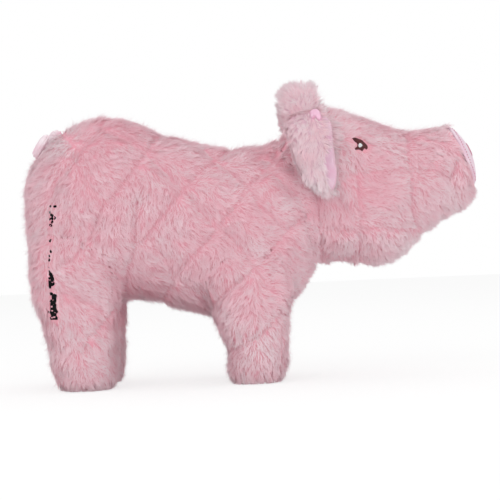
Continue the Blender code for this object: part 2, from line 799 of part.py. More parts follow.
def ear_fold(row, hem):
    """Places round an ear's fold, inside edge first, and the way each faces."""
    _, rear, outside, inside, bend = row
    radius = bend * EAR_FOLD
    middle = rear * EAR_WIDTH + radius
    inner_edge = max(inside * EAR_WIDTH - hem, middle)
    outer_edge = max(outside * EAR_WIDTH - hem, middle)
    parts = [step / EAR_STEPS for step in range(EAR_STEPS + 1)]
    turns = [math.pi * (1.5 - part) for part in parts]
    places = [(inner_edge + (middle - inner_edge) * part, -radius, 0, -1)
              for part in parts[:-1]]
    places += [(middle + radius * math.cos(turn), radius * math.sin(turn),
                math.cos(turn), math.sin(turn)) for turn in turns]
    places += [(middle + (outer_edge - middle) * part, radius, 0, 1) for part in parts[1:]]
    return places


def ear_rows(hem):
    """Rows along an ear: distance from the seam, thinning and shape.

    A layer with a hem is trimmed short of root and tip. The other one is rounded off
    about its seam.
    """
    rows = [(row[0] * EAR_LENGTH, 1, row) for row in smooth_rows(EAR_SHARES, 2)]
    if hem:
        return rows[1:-1]
    radius = ear_root_radius()
    root = [(-radius * math.sin(turn), math.cos(turn), EAR_SHARES[0])
            for turn in EAR_ROOT_TURNS]
    return root + rows


def ear_layer(name, side, hinge, pose, near, far, hem):
    """One layer of an ear between two distances from its fold line."""
    along, outward = ear_axis(), Vector((0, side, 0))
    upward = Vector((-math.sin(EAR_TILT), 0, math.cos(EAR_TILT)))
    work = bmesh.new()
    skins = ([], [])
    for distance, thin, row in ear_rows(hem):
        out, up, heading = ear_path(max(distance, 0), *pose)
        ahead = outward * math.cos(heading) + upward * math.sin(heading)
        across = upward * math.cos(heading) - outward * math.sin(heading)
        spot = hinge + outward * out + upward * up + ahead * min(distance, 0)
        for rings, reach in zip(skins, (near, far)):
            rings.append([work.verts.new(
                spot + along * (x + nx * reach) + across * thin * (y + ny * reach))
                for x, y, nx, ny in ear_fold(row, hem)])
    first, second = skins
    for rings in (first, second, [first[0], second[0]], [second[-1], first[-1]],
                  [[ring[0] for ring in second], [ring[0] for ring in first]],
                  [[ring[-1] for ring in first], [ring[-1] for ring in second]]):
        skin(work, rings, closed_rings=False)
    return finish_mesh(name, work)


def make_ear(word, side, tree, root, run, tip):
    """An ear: plush outside the fold, satin inside it."""
    hinge = ear_hinge(side, tree)
    pose = (root, run, ear_bend(hinge, root, run, tip), tip)
    back = ear_layer("back", side, hinge, pose, 0, EAR_PLUSH, 0)
    lining = ear_layer("lining", side, hinge, pose,
                       -SEAM_GAP - EAR_SATIN, -SEAM_GAP, EAR_HEM)
    pivot = add_pivot(word + "_ear_pivot", hinge, ear_axis() * side)
    dress(back, word + "_ear_back", PLUSH_EAR, hinge, pivot)
    dress(lining, word + "_ear_lining", SATIN, hinge, pivot)


def patch(name, place, across, up, facing, outline, tree, thickness):
    """A thin, slightly domed piece laid on a surface, seen from its facing side."""
    work = bmesh.new()
    tops, feet = [], []
    for share in PATCH_SHARES:
        height = thickness * (1 - (1 - PATCH_EDGE_SHARE) * share ** 4)
        tops.append([])
        feet.append([])
        for side_share, up_share in outline:
            spot = place + (across * side_share + up * up_share) * share
            ground, normal = tree.ray_cast(spot + facing * OVERRUN, -facing)[:2]
            feet[-1].append(work.verts.new(ground + normal * SEAM_GAP))
            tops[-1].append(work.verts.new(ground + normal * (SEAM_GAP + height)))
    ground, normal = tree.ray_cast(place + facing * OVERRUN, -facing)[:2]
    skin(work, tops)
    skin(work, feet)
    skin(work, [feet[0], tops[0]])
    fan(work, feet[-1], ground + normal * SEAM_GAP)
    fan(work, tops[-1], ground + normal * (SEAM_GAP + thickness))
    return finish_mesh(name, work)


def make_eye(word, side, head):
    """An embroidered eye with its white light, laid on the side of the head."""
    facing = Vector((0, side, 0))
    place = Vector((HEAD_X + EYE_PLACE_SHARE * HEAD_LENGTH, side * HEAD_WIDTH / 2,
                    HEAD_Z + EYE_UP_SHARE * HEAD_HEIGHT / 2))
    along = Vector((math.cos(EYE_SLANT), 0, math.sin(EYE_SLANT)))
    rise = Vector((-math.sin(EYE_SLANT), 0, math.cos(EYE_SLANT)))
    eye = patch("eye", place, along * EYE_LENGTH / 2, rise * EYE_HEIGHT / 2, facing,
                superellipse(ROUND_AROUND, EYE_ROUNDNESS), tree_of(head), EYE_THICKNESS)
    spot = place - along * LIGHT_BACK_SHARE * EYE_LENGTH + rise * LIGHT_UP_SHARE * EYE_HEIGHT
    light = patch("light", spot, along * LIGHT_WIDTH / 2, rise * LIGHT_WIDTH / 2, facing,
                  superellipse(PATCH_AROUND, LIGHT_ROUNDNESS), tree_of(eye), LIGHT_THICKNESS)
    dress(eye, word + "_eye", EYE_THREAD, place)
    dress(light, word + "_eye_light", WHITE_THREAD, spot)


def make_snout():
    """The satin pad on the end of the snout, with two sewn nostrils."""
    facing = Vector((math.cos(SNOUT_TILT), 0, math.sin(SNOUT_TILT)))
    upward = Vector((-math.sin(SNOUT_TILT), 0, math.cos(SNOUT_TILT)))
    across = Vector((0, 1, 0))
    _, rise, tall, wide, _ = HEAD_SHARES[-1]
    middle = Vector((HEAD_X + HEAD_LENGTH, 0, HEAD_Z + rise * HEAD_HEIGHT / 2))
    half_height = tall * HEAD_HEIGHT / 2 - PAD_MARGIN
    half_width = wide * HEAD_WIDTH / 2 - PAD_MARGIN
    levels = [(share, part * PAD_EDGE) for share, part in PAD_EDGE_SHARES]
    levels += [(share, PAD_EDGE + (PAD_CROWN - PAD_EDGE) * (1 - share ** PAD_ROUNDNESS))
               for share in PAD_CROWN_SHARES]
    work = bmesh.new()
    rings = []
    for share, height in levels:
        centre = middle + facing * (SEAM_GAP + height)
        rings.append([work.verts.new(
            centre + across * half_width * share * s + upward * half_height * share * u)
            for s, u in superellipse(FINE_AROUND, PAD_ROUNDNESS)])
    skin(work, rings)
    fan(work, rings[0], middle + facing * SEAM_GAP)
    fan(work, rings[-1], middle + facing * (SEAM_GAP + PAD_CROWN))
    pad = dress(finish_mesh("pad", work), "snout_pad", PAD_SATIN, middle)
    for word, side in (("right", RIGHT), ("left", LEFT)):
        place = middle + across * side * NOSTRIL_SPACING / 2 + upward * NOSTRIL_RISE
        nostril = patch("nostril", place, across * NOSTRIL_WIDTH / 2,
                        upward * NOSTRIL_HEIGHT / 2, facing,
                        superellipse(PATCH_AROUND, NOSTRIL_ROUNDNESS), tree_of(pad),
                        NOSTRIL_THICKNESS)
        dress(nostril, word + "_nostril", NOSE_THREAD, place)


def make_tail(tree):
    """The curled tail, draped over the rump from its sewn upper end."""
    above = Vector((RUMP_X + TAIL_PLACE_SHARE * TRUNK_LENGTH, RIGHT * TAIL_ASIDE,
                    BELLY_HEIGHT + 2 * TRUNK_HEIGHT))
    ground, normal = tree.ray_cast(above, Vector((0, 0, -1)))[:2]
    down = Vector((-normal.z, 0, normal.x)).normalized()
    aside = down.cross(normal)
    path, radii = [], []
    for step in range(TAIL_STEPS + 1):
        share = step / TAIL_STEPS
        turn = TAIL_TURN * share
        spot = (ground - down * TAIL_LOOP_LENGTH / 2 * math.cos(turn)
                + aside * TAIL_LOOP_WIDTH / 2 * math.sin(turn))
        stem = TAIL_STEM * min(1, share / TAIL_STEM_SHARE)
        rise = TAIL_RISE * (max(0, share - TAIL_RISE_SHARE) / (1 - TAIL_RISE_SHARE)) ** 2
        path.append(rest_on(tree, spot + normal * OVERRUN, -normal,
                            TAIL_RADIUS + SEAM_GAP + stem + rise))
        radii.append(TAIL_RADIUS + (TAIL_TIP_RADIUS - TAIL_RADIUS) * share ** 2)
    hinge = path[0]
    end_share, thin_share = TAIL_END_SHARES
    root_ahead = (path[1] - path[0]).normalized()
    tip_ahead = (path[-1] - path[-2]).normalized()
    path = ([path[0] - root_ahead * TAIL_RADIUS * end_share] + path
            + [path[-1] + tip_ahead * TAIL_TIP_RADIUS * end_share])
    radii = [TAIL_RADIUS * thin_share] + radii + [TAIL_TIP_RADIUS * thin_share]
    pivot = add_pivot("tail_pivot", hinge, aside)
    dress(tube("tube", path, radii, TAIL_AROUND), "tail", TAIL_SATIN, hinge, pivot)


def make_tape(tree):
    """The woven tape over the closing seam, laid on the right side of the rump."""
    middle = leg_middle(HIND_LEG, RIGHT).x
    work = bmesh.new()
    feet, tops = [], []
    for row in range(TAPE_ROWS + 1):
        share = row / TAPE_ROWS
        up_share = TAPE_LOW_UP_SHARE + (TAPE_HIGH_UP_SHARE - TAPE_LOW_UP_SHARE) * share
        back_share = (TAPE_LOW_BACK_SHARE
                      + (TAPE_HIGH_BACK_SHARE - TAPE_LOW_BACK_SHARE) * share)
        centre = Vector((middle - back_share * HIND_LEG_LENGTH, RIGHT * TRUNK_WIDTH,
                         BELLY_HEIGHT + up_share * TRUNK_HEIGHT))
        feet.append([])
        tops.append([])
        for column in range(TAPE_COLUMNS + 1):
            aside = Vector((TAPE_WIDTH * column / TAPE_COLUMNS - TAPE_WIDTH / 2, 0, 0))
            ground, normal = tree.ray_cast(centre + aside, Vector((0, LEFT, 0)))[:2]
            feet[-1].append(work.verts.new(ground + normal * 2 * SEAM_GAP))
            tops[-1].append(work.verts.new(
                ground + normal * (2 * SEAM_GAP + TAPE_THICKNESS)))
    for rings in (feet, tops, [feet[0], tops[0]], [feet[-1], tops[-1]],
                  [[ring[0] for ring in feet], [ring[0] for ring in tops]],
                  [[ring[-1] for ring in feet], [ring[-1] for ring in tops]]):
        skin(work, rings, closed_rings=False)
    origin = sum((corner.co for corner in work.verts), Vector()) / len(work.verts)
    dress(finish_mesh("tape", work), "seam_tape", BLACK_TAPE, origin)


def main():
    clear_scene()
    trunk = make_trunk_cover()
    head = make_head_cover()
    legs = {name: make_leg_cover(name, leg, side) for name, leg, side in LEGS}
    make_trunk_wadding()
    make_head_wadding()
    for name, leg, side in LEGS:
        make_leg_wadding(name, leg, side)
    make_squeaker()
    body = tree_of(trunk, head)
    make_ear("right", RIGHT, body, HANGING_ROOT, 0, HANGING_TIP)
    make_ear("left", LEFT, body, STANDING_ROOT, STANDING_RUN, STANDING_TIP)
    make_eye("right", RIGHT, head)
    make_eye("left", LEFT, head)
    make_snout()
    make_tail(body)
    make_tape(tree_of(trunk, legs["right_hind_leg"]))


main()
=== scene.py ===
import json
import math

import bmesh
import bpy
import numpy as np
from mathutils import Matrix, Vector
from mathutils.bvhtree import BVHTree
from mathutils.kdtree import KDTree

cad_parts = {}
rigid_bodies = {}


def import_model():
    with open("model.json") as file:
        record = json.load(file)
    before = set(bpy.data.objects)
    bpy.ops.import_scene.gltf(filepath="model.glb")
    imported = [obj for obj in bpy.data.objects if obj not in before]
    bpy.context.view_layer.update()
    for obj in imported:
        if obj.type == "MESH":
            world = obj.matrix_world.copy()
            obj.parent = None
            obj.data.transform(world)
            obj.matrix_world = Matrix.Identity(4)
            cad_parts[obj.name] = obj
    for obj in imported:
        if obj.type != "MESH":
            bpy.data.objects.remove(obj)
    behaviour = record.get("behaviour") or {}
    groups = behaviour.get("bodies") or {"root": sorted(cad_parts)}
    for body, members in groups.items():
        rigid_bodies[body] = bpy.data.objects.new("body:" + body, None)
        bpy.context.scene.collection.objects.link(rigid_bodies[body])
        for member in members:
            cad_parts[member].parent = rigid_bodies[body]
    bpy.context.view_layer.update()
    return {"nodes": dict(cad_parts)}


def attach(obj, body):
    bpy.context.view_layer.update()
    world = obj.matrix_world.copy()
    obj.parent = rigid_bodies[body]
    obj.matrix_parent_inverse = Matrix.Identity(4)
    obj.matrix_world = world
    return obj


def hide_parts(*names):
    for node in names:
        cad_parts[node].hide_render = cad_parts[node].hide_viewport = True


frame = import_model()

# ---- camera: a level look at the right side, with the picture turned a little
LEAN = math.radians(2.46)
VIEW_MIDDLE = (-0.00315, 0.0940)
CAMERA_DISTANCE = 1.1
VIEW_WIDTH = 0.36390
SENSOR_WIDTH = 36.0
PICTURE = 500
PIXEL = VIEW_WIDTH / PICTURE
EYE_POINT = np.array([VIEW_MIDDLE[0], -CAMERA_DISTANCE, VIEW_MIDDLE[1]])
RIGHTWARD = np.array([math.cos(LEAN), 0.0, -math.sin(LEAN)])
UPWARD = np.array([math.sin(LEAN), 0.0, math.cos(LEAN)])
FORWARD = np.array([0.0, 1.0, 0.0])
SIDEWAYS = np.array([0.0, 1.0, 0.0])

# ---- quilting seams of the CAD covers: shares of a box, start and end
QUILT_DEPTH, QUILT_REACH, QUILT_FADE = 0.003, 0.0075, 0.008
QUILT_LEFT = 0.85
CAD_QUILTS = {
    "trunk": ((-0.161805, 0.047, 0.210, 0.146), (
        (0.07, 0.66, 0.28, 1.01), (0.22, 0.41, 0.45, 0.94), (0.39, 0.40, 0.72, 0.87),
        (0.44, 0.10, 0.88, 0.86), (0.62, 0.06, 0.95, 0.49), (0.21, 1.04, 0.81, 0.13),
        (0.57, 0.89, 0.93, 0.32), (0.41, 0.39, 0.60, 0.09))),
    "head": ((0.018795, 0.139, 0.133, 0.054), (
        (0.44, 0.24, 0.42, -1.05), (0.75, 0.80, 0.72, -0.82), (0.20, -0.56, 0.76, -0.61),
        (0.36, 0.21, 0.88, 0.16))),
}

# ---- seams sewn through the plush, as pixels of the photograph: how deep, and the line
SEAMS = (
    (1.0, ((49, 196), (56, 182), (64, 171), (76, 152), (85, 142), (99, 130), (104, 120))),
    (1.0, ((61, 264), (73, 258), (83, 246), (92, 234), (96, 220), (102, 206), (112, 196),
           (123, 181), (134, 166), (147, 150), (155, 136))),
    (1.0, ((143, 240), (153, 227), (160, 216), (168, 208), (177, 197), (184, 187),
           (198, 172), (207, 166), (222, 155), (230, 145))),
    (1.0, ((162, 300), (180, 268), (204, 243), (213, 232), (221, 221), (229, 212),
           (238, 202), (244, 190), (250, 183), (260, 174), (271, 164), (276, 152))),
    (1.0, ((214, 304), (219, 298), (229, 288), (241, 278), (253, 270), (263, 258),
           (273, 247), (286, 233), (295, 223), (308, 212))),
    (1.0, ((231, 349), (243, 345), (255, 338), (264, 331), (272, 323), (281, 312))),
    (0.9, ((99, 130), (126, 139), (142, 149), (156, 164), (165, 170), (178, 183),
           (188, 196), (194, 201), (200, 212), (207, 219), (215, 227), (225, 232),
           (240, 248), (256, 268), (268, 290))),
    (0.8, ((205, 150), (217, 162), (226, 169), (238, 180), (250, 190), (258, 205),
           (270, 216), (287, 233), (300, 250))),
    (0.8, ((148, 236), (157, 248), (172, 270), (178, 277), (192, 290), (205, 300))),
    (0.5, ((62, 155), (74, 162), (84, 177), (93, 190), (102, 206))),
    (0.8, ((92, 240), (91, 259), (110, 267), (123, 279))),
    (1.2, ((137, 200), (135, 220), (134, 248), (126, 268), (125, 290))),
    (0.8, ((50, 288), (66, 294), (76, 298), (89, 304), (98, 311))),
    (0.8, ((117, 306), (106, 320), (97, 329), (88, 338), (84, 350))),
    (0.8, ((356, 166), (358, 190), (360, 215), (360, 240), (359, 262))),
    (0.8, ((406, 135), (408, 157), (411, 175), (411, 195), (413, 217), (419, 234))),
    (0.9, ((318, 227), (341, 230), (366, 228), (382, 227), (404, 229), (420, 228))),
    (0.7, ((345, 176), (354, 173), (380, 171), (405, 172), (434, 169))),
    (1.2, ((432, 161), (438, 171), (450, 178), (454, 170), (457, 161))),
    (1.0, ((317, 195), (319, 215), (322, 237), (321, 262))),
    (0.7, ((322, 250), (333, 256), (349, 255), (360, 249))),
    (0.6, ((337, 193), (341, 201), (345, 210))),
    (0.6, ((276, 176), (286, 183), (295, 193))),
    (0.8, ((258, 158), (272, 160), (276, 166), (292, 167))),
)
SEAM_STEP = 7.0
# places where the stuffed skin is fuller: pixel, reach in pixels, how much
SWELLINGS = ((320, 268, 9, 0.0035), (100, 122, 16, 0.0010), (272, 139, 9, 0.0048),
             (210, 300, 12, -0.0015), (190, 302, 14, -0.0008))
HIND_SHIFT = 0.0022
SKIN_VOXEL = 0.0021
SKIN_SINK = 0.0010
CELL_PUFF = 0.0014
CELL_REACH = 0.0080
SEAM_DEPTH = 0.0017
SEAM_REACH = 0.0024
SMOOTHINGS = 6
PULL_IN, PUSH_BACK = 0.5, 0.515
LOWEST_SKIN, LOWEST_ROOT, LOWEST_PILE = 0.0009, 0.0016, 0.0004

# ---- which way the pile lies, as places in the photograph and pixels right and down
FLOW = (
    (35, 160, -0.8, 0.5), (30, 190, -0.9, 0.5), (30, 230, -0.8, 0.6), (34, 270, -0.3, 1),
    (34, 310, -0.2, 1), (60, 150, -0.3, 0.5), (62, 168, -0.5, 0.7), (76, 187, -0.5, 0.8),
    (60, 205, -0.2, 1), (66, 225, 0.1, 1), (83, 173, 0.6, 0.8), (98, 185, 0.5, 0.9),
    (104, 192, 0.5, 0.9), (88, 200, 0.1, 1), (80, 130, 0.3, -0.3), (92, 112, 1, -0.3),
    (118, 120, 1, 0.2), (110, 148, 0.6, 0.6), (122, 160, 0.7, 0.7), (145, 128, 1, 0.3),
    (140, 165, 0.7, 0.6), (120, 205, 0.2, 1), (168, 150, 1, 0.1), (190, 152, 1, 0.1),
    (160, 178, 0.2, 0.9), (168, 196, -0.6, 0.8), (150, 195, 0.1, 1), (152, 215, 0.0, 1),
    (83, 222, 0.3, 1), (205, 160, 1, 0.3), (200, 180, 0.9, 0.4), (217, 184, 1, 0.5),
    (236, 195, 1, 0.1), (233, 207, 0.7, 0.7), (210, 205, 0.8, 0.6), (176, 215, 0.1, 1),
    (190, 205, 0.5, 0.8), (195, 230, 0.7, 0.7), (208, 240, 1, 0.2), (185, 245, 0.8, 0.5),
    (170, 235, 0.1, 1), (235, 148, 1, -0.2), (250, 150, 1, -0.1), (245, 168, 0.8, 0.6),
    (262, 150, 0.8, -0.3), (228, 160, 1, 0.3), (228, 225, 0.6, 0.8), (245, 215, 1, 0.2),
    (262, 195, 0.5, 0.8), (285, 175, 0.8, 0.6), (280, 205, 1, 0.1), (276, 228, 0.9, 0.5),
    (264, 240, 0.7, 0.7), (300, 245, 0.8, 0.6), (300, 225, 0.9, 0.5), (245, 240, 0.5, 0.9),
    (225, 250, 0.7, 0.6), (75, 235, -0.3, 1), (60, 250, 0.2, 1), (100, 240, 0.1, 1),
    (108, 258, 0.6, 0.8), (84, 275, 0.9, 0.4), (105, 285, 0.9, 0.5), (66, 275, 0.6, 0.7),
    (75, 291, 1, 0.4), (60, 305, 0.5, 0.9), (86, 312, 0.9, 0.4), (105, 305, 0.8, 0.6),
    (65, 330, 0.2, 1), (92, 328, 0.8, 0.5), (110, 350, 0.7, 0.7), (95, 355, 0.5, 0.8),
    (58, 355, -0.2, 1), (75, 375, 0.1, 1), (100, 375, 0.4, 0.9), (115, 330, 0.6, 0.8),
    (142, 250, 0.3, 0.9), (150, 265, 0.8, 0.5), (150, 281, 1, -0.1), (140, 295, 0.9, 0.2),
    (165, 295, 1, 0.3), (178, 250, 0.3, 0.9), (178, 268, -0.3, 1), (195, 262, 0.3, 0.9),
    (208, 266, -0.4, 0.9), (216, 272, -0.3, 0.9), (200, 290, 1, 0.3), (190, 305, 0.8, 0.3),
    (235, 265, 0.8, 0.5), (225, 280, 0.6, 0.6), (246, 290, -0.7, 0.7), (270, 272, 1, 0.2),
    (285, 276, 0.9, 0.3), (290, 300, 0.9, 0.4), (270, 292, 0.7, 0.5), (236, 312, -0.9, 0.4),
    (250, 318, -0.5, 0.9), (240, 333, -0.5, 0.9), (258, 325, 0.1, 1), (265, 312, 0.8, 0.5),
    (272, 318, 0.8, 0.6), (286, 322, 0.6, 0.8), (250, 356, -0.1, 1), (239, 370, -0.3, 1),
    (268, 352, 0.5, 0.9), (285, 350, 0.6, 0.8), (275, 372, 0.4, 0.9), (310, 272, 0.8, 0.3),
    (305, 290, 0.7, 0.5), (335, 190, 0.3, 1), (347, 200, 0.5, 0.9), (333, 215, 0.0, 1),
    (345, 224, 0.5, 0.8), (365, 180, 0.9, 0.3), (382, 186, 1, 0.2), (368, 205, 0.8, 0.6),
    (386, 206, 0.9, 0.5), (375, 220, 0.8, 0.6), (402, 215, 0.8, 0.5), (330, 242, -0.3, 0.9),
    (345, 243, 0.1, 1), (366, 244, -0.2, 1), (380, 244, 0.4, 0.9), (395, 240, 0.8, 0.6),
    (395, 255, 0.7, 0.7), (370, 262, 0.3, 0.9), (340, 262, 0.2, 0.9), (422, 185, 0.6, 0.8),
    (432, 202, 0.7, 0.7), (426, 222, 0.7, 0.7), (424, 176, 0.9, 0.1), (345, 160, 0.5, 0.8),
    (380, 156, 1, 0.2), (395, 140, 0.9, 0.3), (368, 130, 0.8, 0.3), (350, 118, 0.8, -0.3),
    (335, 120, 0.5, -0.4), (412, 152, 0.6, 0.8), (430, 145, 0.8, 0.5), (415, 130, 1, 0.0),
    (442, 152, 0.9, 0.6), (456, 186, 0.0, 1), (470, 194, 0.8, 0.6), (450, 202, 0.5, 0.9),
    (465, 175, 0.3, 0.9), (440, 130, 0.5, -0.7), (300, 200, 0.5, 0.8), (310, 150, 0.5, 0.7),
)
FLOW_REACH = 9.0

rng = np.random.default_rng(7)


def pixel_ray(px, py):
    """The way from the camera through a pixel of the photograph."""
    return (FORWARD * CAMERA_DISTANCE + RIGHTWARD * (px - PICTURE / 2) * PIXEL
            + UPWARD * (PICTURE / 2 - py) * PIXEL)


def pixels_at(points):
    """The pixels of the photograph at which points lie, right and down."""
    away = points - EYE_POINT
    scale = CAMERA_DISTANCE / (away @ FORWARD) / PIXEL
    return np.stack([PICTURE / 2 + (away @ RIGHTWARD) * scale,
                     PICTURE / 2 - (away @ UPWARD) * scale], -1)


def near_pixels(points):
    """Pixels of points, or of their mirror images on the near side."""
    mirrored = points.copy()
    mirrored[..., 1] = -np.abs(mirrored[..., 1])
    return pixels_at(mirrored)


def spot_at(tree, px, py):
    """Where a pixel's ray meets a surface, or else the pig's middle plane."""
    way = pixel_ray(px, py)
    place = tree.ray_cast(Vector(EYE_POINT), Vector(way))[0]
    return np.array(place) if place else EYE_POINT + way


def unit(vectors):
    """Rows of vectors, each made one long."""
    return vectors / np.maximum(np.linalg.norm(vectors, axis=-1, keepdims=True), 1e-9)


def smoothstep(values, low, high):
    share = np.clip((values - low) / (high - low), 0, 1)
    return share * share * (3 - 2 * share)


class Waves:
    """A smooth random field about zero, a sum of waves of one size."""

    def __init__(self, size, count=14):
        self.ways = unit(rng.normal(size=(count, 3))) * rng.uniform(0.7, 1.4, (count, 1))
        self.ways *= math.tau / size
        self.starts = rng.uniform(0, math.tau, count)

    def at(self, points):
        return np.sin(points @ self.ways.T + self.starts).sum(-1) / math.sqrt(len(self.starts))


# ---------------------------------------------------------------- meshes and pieces

def new_object(name, data):
    item = bpy.data.objects.new(name, data)
    bpy.context.scene.collection.objects.link(item)
    return item


def mesh_from(name, corners, faces):
    """A smooth mesh from rows of corners and of faces."""
    mesh = bpy.data.meshes.new(name)
    mesh.from_pydata([tuple(c) for c in corners], [], [tuple(int(i) for i in f) for f in faces])
    mesh.update()
    mesh.shade_smooth()
    return mesh


def rows_of(items, key, width=3, kind=np.float32):
    """One property of all of a mesh's items, as rows."""
    data = np.empty(len(items) * width, kind)
    items.foreach_get(key, data)
    return data.reshape(-1, width)


def corner_array(mesh):
    return rows_of(mesh.vertices, "co").astype(float)


def normal_array(mesh):
    return rows_of(mesh.vertex_normals, "vector").astype(float)


def triangle_array(mesh):
    mesh.calc_loop_triangles()
    return rows_of(mesh.loop_triangles, "vertices", kind=np.int32)


def set_corners(mesh, corners):
    mesh.vertices.foreach_set("co", corners.astype(np.float32).ravel())
    mesh.update()


def tree_of(mesh):
    """A search tree over a mesh's faces."""
    return BVHTree.FromPolygons(corner_array(mesh).tolist(), triangle_array(mesh).tolist())


def reworked(mesh, change):
    """A mesh after a change to its faces."""
    work = bmesh.new()
    work.from_mesh(mesh)
    change(work)
    work.to_mesh(mesh)
    work.free()
    return mesh


def outward(mesh):
    """Turn a closed mesh's faces outward."""
    reworked(mesh, lambda work: bmesh.ops.recalc_face_normals(work, faces=work.faces[:]))
    mesh.shade_smooth()
    return mesh


def ring_faces(around, rows, first=0):
    """Squares between rings of corners that follow each other."""
    return [(low + k, low + (k + 1) % around, low + around + (k + 1) % around, low + around + k)
            for low in range(first, first + rows * around, around) for k in range(around)]


def fan_faces(middle, first, around):
    """Triangles between a corner and a ring of corners."""
    return [(middle, first + k, first + (k + 1) % around) for k in range(around)]


def joined_nodes(nodes, name="work"):
    """A copy of several CAD nodes as one mesh with its corners merged."""
    work = bmesh.new()
    for node in nodes:
        work.from_mesh(frame["nodes"][node].data)
    bmesh.ops.remove_doubles(work, verts=work.verts[:], dist=1e-6)
    mesh = bpy.data.meshes.new(name)
    work.to_mesh(mesh)
    work.free()
    return mesh


def keep_largest(work):
    """Leave only the largest connected part of a mesh."""
    left, parts = set(work.verts), []
    while left:
        start = left.pop()
        part, edge = {start}, [start]
        while edge:
            linked = {corner for link in edge.pop().link_edges for corner in link.verts}
            found = linked & left
            left -= found
            part |= found
            edge += found
        parts.append(part)
    largest = max(parts, key=len)
    lost = [corner for corner in work.verts if corner not in largest]
    bmesh.ops.delete(work, geom=lost, context="VERTS")


def remeshed(name, nodes, voxel):
    """CAD nodes melted into one closed skin of small squares."""
    item = new_object(name, joined_nodes(nodes, name))
    modifier = item.modifiers.new("remesh", "REMESH")
    modifier.mode = "VOXEL"
    modifier.voxel_size = voxel
    bpy.context.view_layer.update()
    graph = bpy.context.evaluated_depsgraph_get()
    mesh = bpy.data.meshes.new_from_object(item.evaluated_get(graph))
    bpy.data.objects.remove(item, do_unlink=True)
    return reworked(mesh, keep_largest)


def relaxed(mesh, rounds):
    """Smooth a mesh's corners towards their neighbours, without shrinking it much."""
    corners = corner_array(mesh)
    edges = rows_of(mesh.edges, "vertices", 2, np.int32)
    both = np.concatenate([edges, edges[:, ::-1]])
    count = np.bincount(both[:, 0], minlength=len(corners))[:, None]
    for turn in range(rounds * 2):
        total = np.stack([np.bincount(both[:, 0], corners[both[:, 1], axis], len(corners))
                          for axis in range(3)], 1)
        pull = -PUSH_BACK if turn % 2 else PULL_IN
        corners = corners + (total / np.maximum(count, 1) - corners) * pull
    set_corners(mesh, corners)
    return mesh


def dress(mesh, body, material, replaced=()):
    """A mesh as a piece, with its material, its body and what it stands for."""
    item = new_object(mesh.name, mesh)
    mesh.materials.clear()
    mesh.materials.append(material)
    if replaced:
        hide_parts(*replaced)
    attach(item, body)
    return item


# ---------------------------------------------------------------- materials

class Graph:
    """A node graph, built one node at a time."""

    def __init__(self, owner):
        owner.use_nodes = True
        self.nodes, self.links = owner.node_tree.nodes, owner.node_tree.links

    def feed(self, socket, value):
        if isinstance(value, bpy.types.NodeSocket):
            self.links.new(value, socket)
        elif socket.type == "RGBA":
            socket.default_value = (*value, 1.0)
        else:
            socket.default_value = value

    def set(self, node, **inputs):
        for key, value in inputs.items():
            self.feed(node.inputs[key.replace("_", " ")], value)

    def node(self, kind, settings=None, **inputs):
        made = self.nodes.new(kind)
        for key, value in (settings or {}).items():
            setattr(made, key, value)
        self.set(made, **inputs)
        return made

    def noise(self, scale, detail, rough=0.55, vector=None):
        vector = vector or self.node("ShaderNodeTexCoord").outputs["Object"]
        made = self.node("ShaderNodeTexNoise", Vector=vector, Scale=scale, Detail=detail,
                         Roughness=rough)
        return made.outputs["Fac"]

    def ramp(self, value, *stops):
        made = self.node("ShaderNodeValToRGB", Fac=value)
        line = made.color_ramp.elements
        while len(line) < len(stops):
            line.new(0.5)
        for element, (at, colour) in zip(line, stops):
            element.position = at
            element.color = (*colour, 1.0)
        return made.outputs["Color"]

    def blend(self, made, outlet, sockets, values):
        for key, value in zip(sockets, values):
            self.feed(made.inputs[key], value)
        return made.outputs[outlet]

    def mix(self, *values):
        made = self.node("ShaderNodeMix", {"data_type": "RGBA"})
        return self.blend(made, 2, ("Factor", 6, 7), values)

    def maths(self, operation, *values):
        made = self.node("ShaderNodeMath", {"operation": operation})
        return self.blend(made, 0, (0, 1), values)

    def looked_at(self):
        """One where the camera, gloss or clear pieces look, nought for other light."""
        rays = self.node("ShaderNodeLightPath").outputs
        either = self.maths("MAXIMUM", rays["Is Camera Ray"], rays["Is Glossy Ray"])
        return self.maths("MAXIMUM", either, rays["Is Transmission Ray"])


class Finish(Graph):
    """A material's node graph."""

    def __init__(self, name, roughness):
        self.material = bpy.data.materials.new(name)
        super().__init__(self.material)
        self.shader = self.nodes["Principled BSDF"]
        self.surface(Roughness=roughness)

    def surface(self, **inputs):
        self.set(self.shader, **inputs)

    def sheen(self, weight, roughness, tint):
        self.surface(Sheen_Weight=weight, Sheen_Roughness=roughness, Sheen_Tint=tint)

    def bump(self, height, distance, strength):
        made = self.node("ShaderNodeBump", Height=height, Distance=distance, Strength=strength)
        self.surface(Normal=made.outputs["Normal"])


def darker(colour, share):
    return tuple(part * share for part in colour)


def pile_finish(name, deep_root, pale_root, deep_tip, mid_tip, pale_tip):
    """Plush pile. Across the map a tuft goes from rosy to pale; up it, from root to tip, its
    colour pales, which paints shade deep in the pile and sheen on the tips.
    """
    made = Finish(name, 0.85)
    place = made.node("ShaderNodeUVMap", {"uv_map": "OFBake"}).outputs["UV"]
    parts = made.node("ShaderNodeSeparateXYZ", Vector=place).outputs
    root = made.ramp(parts["X"], (0.0, deep_root), (1.0, pale_root))
    tip = made.ramp(parts["X"], (0.0, deep_tip), (0.5, mid_tip), (1.0, pale_tip))
    # the root-to-tip ramp is painted shade at the roots and painted sheen on the tips
    made.surface(Base_Color=made.mix(made.maths("POWER", parts["Y"], 0.8), root, tip))
    made.sheen(0.15, 0.6, (1.0, 0.9, 0.93))
    return made.material


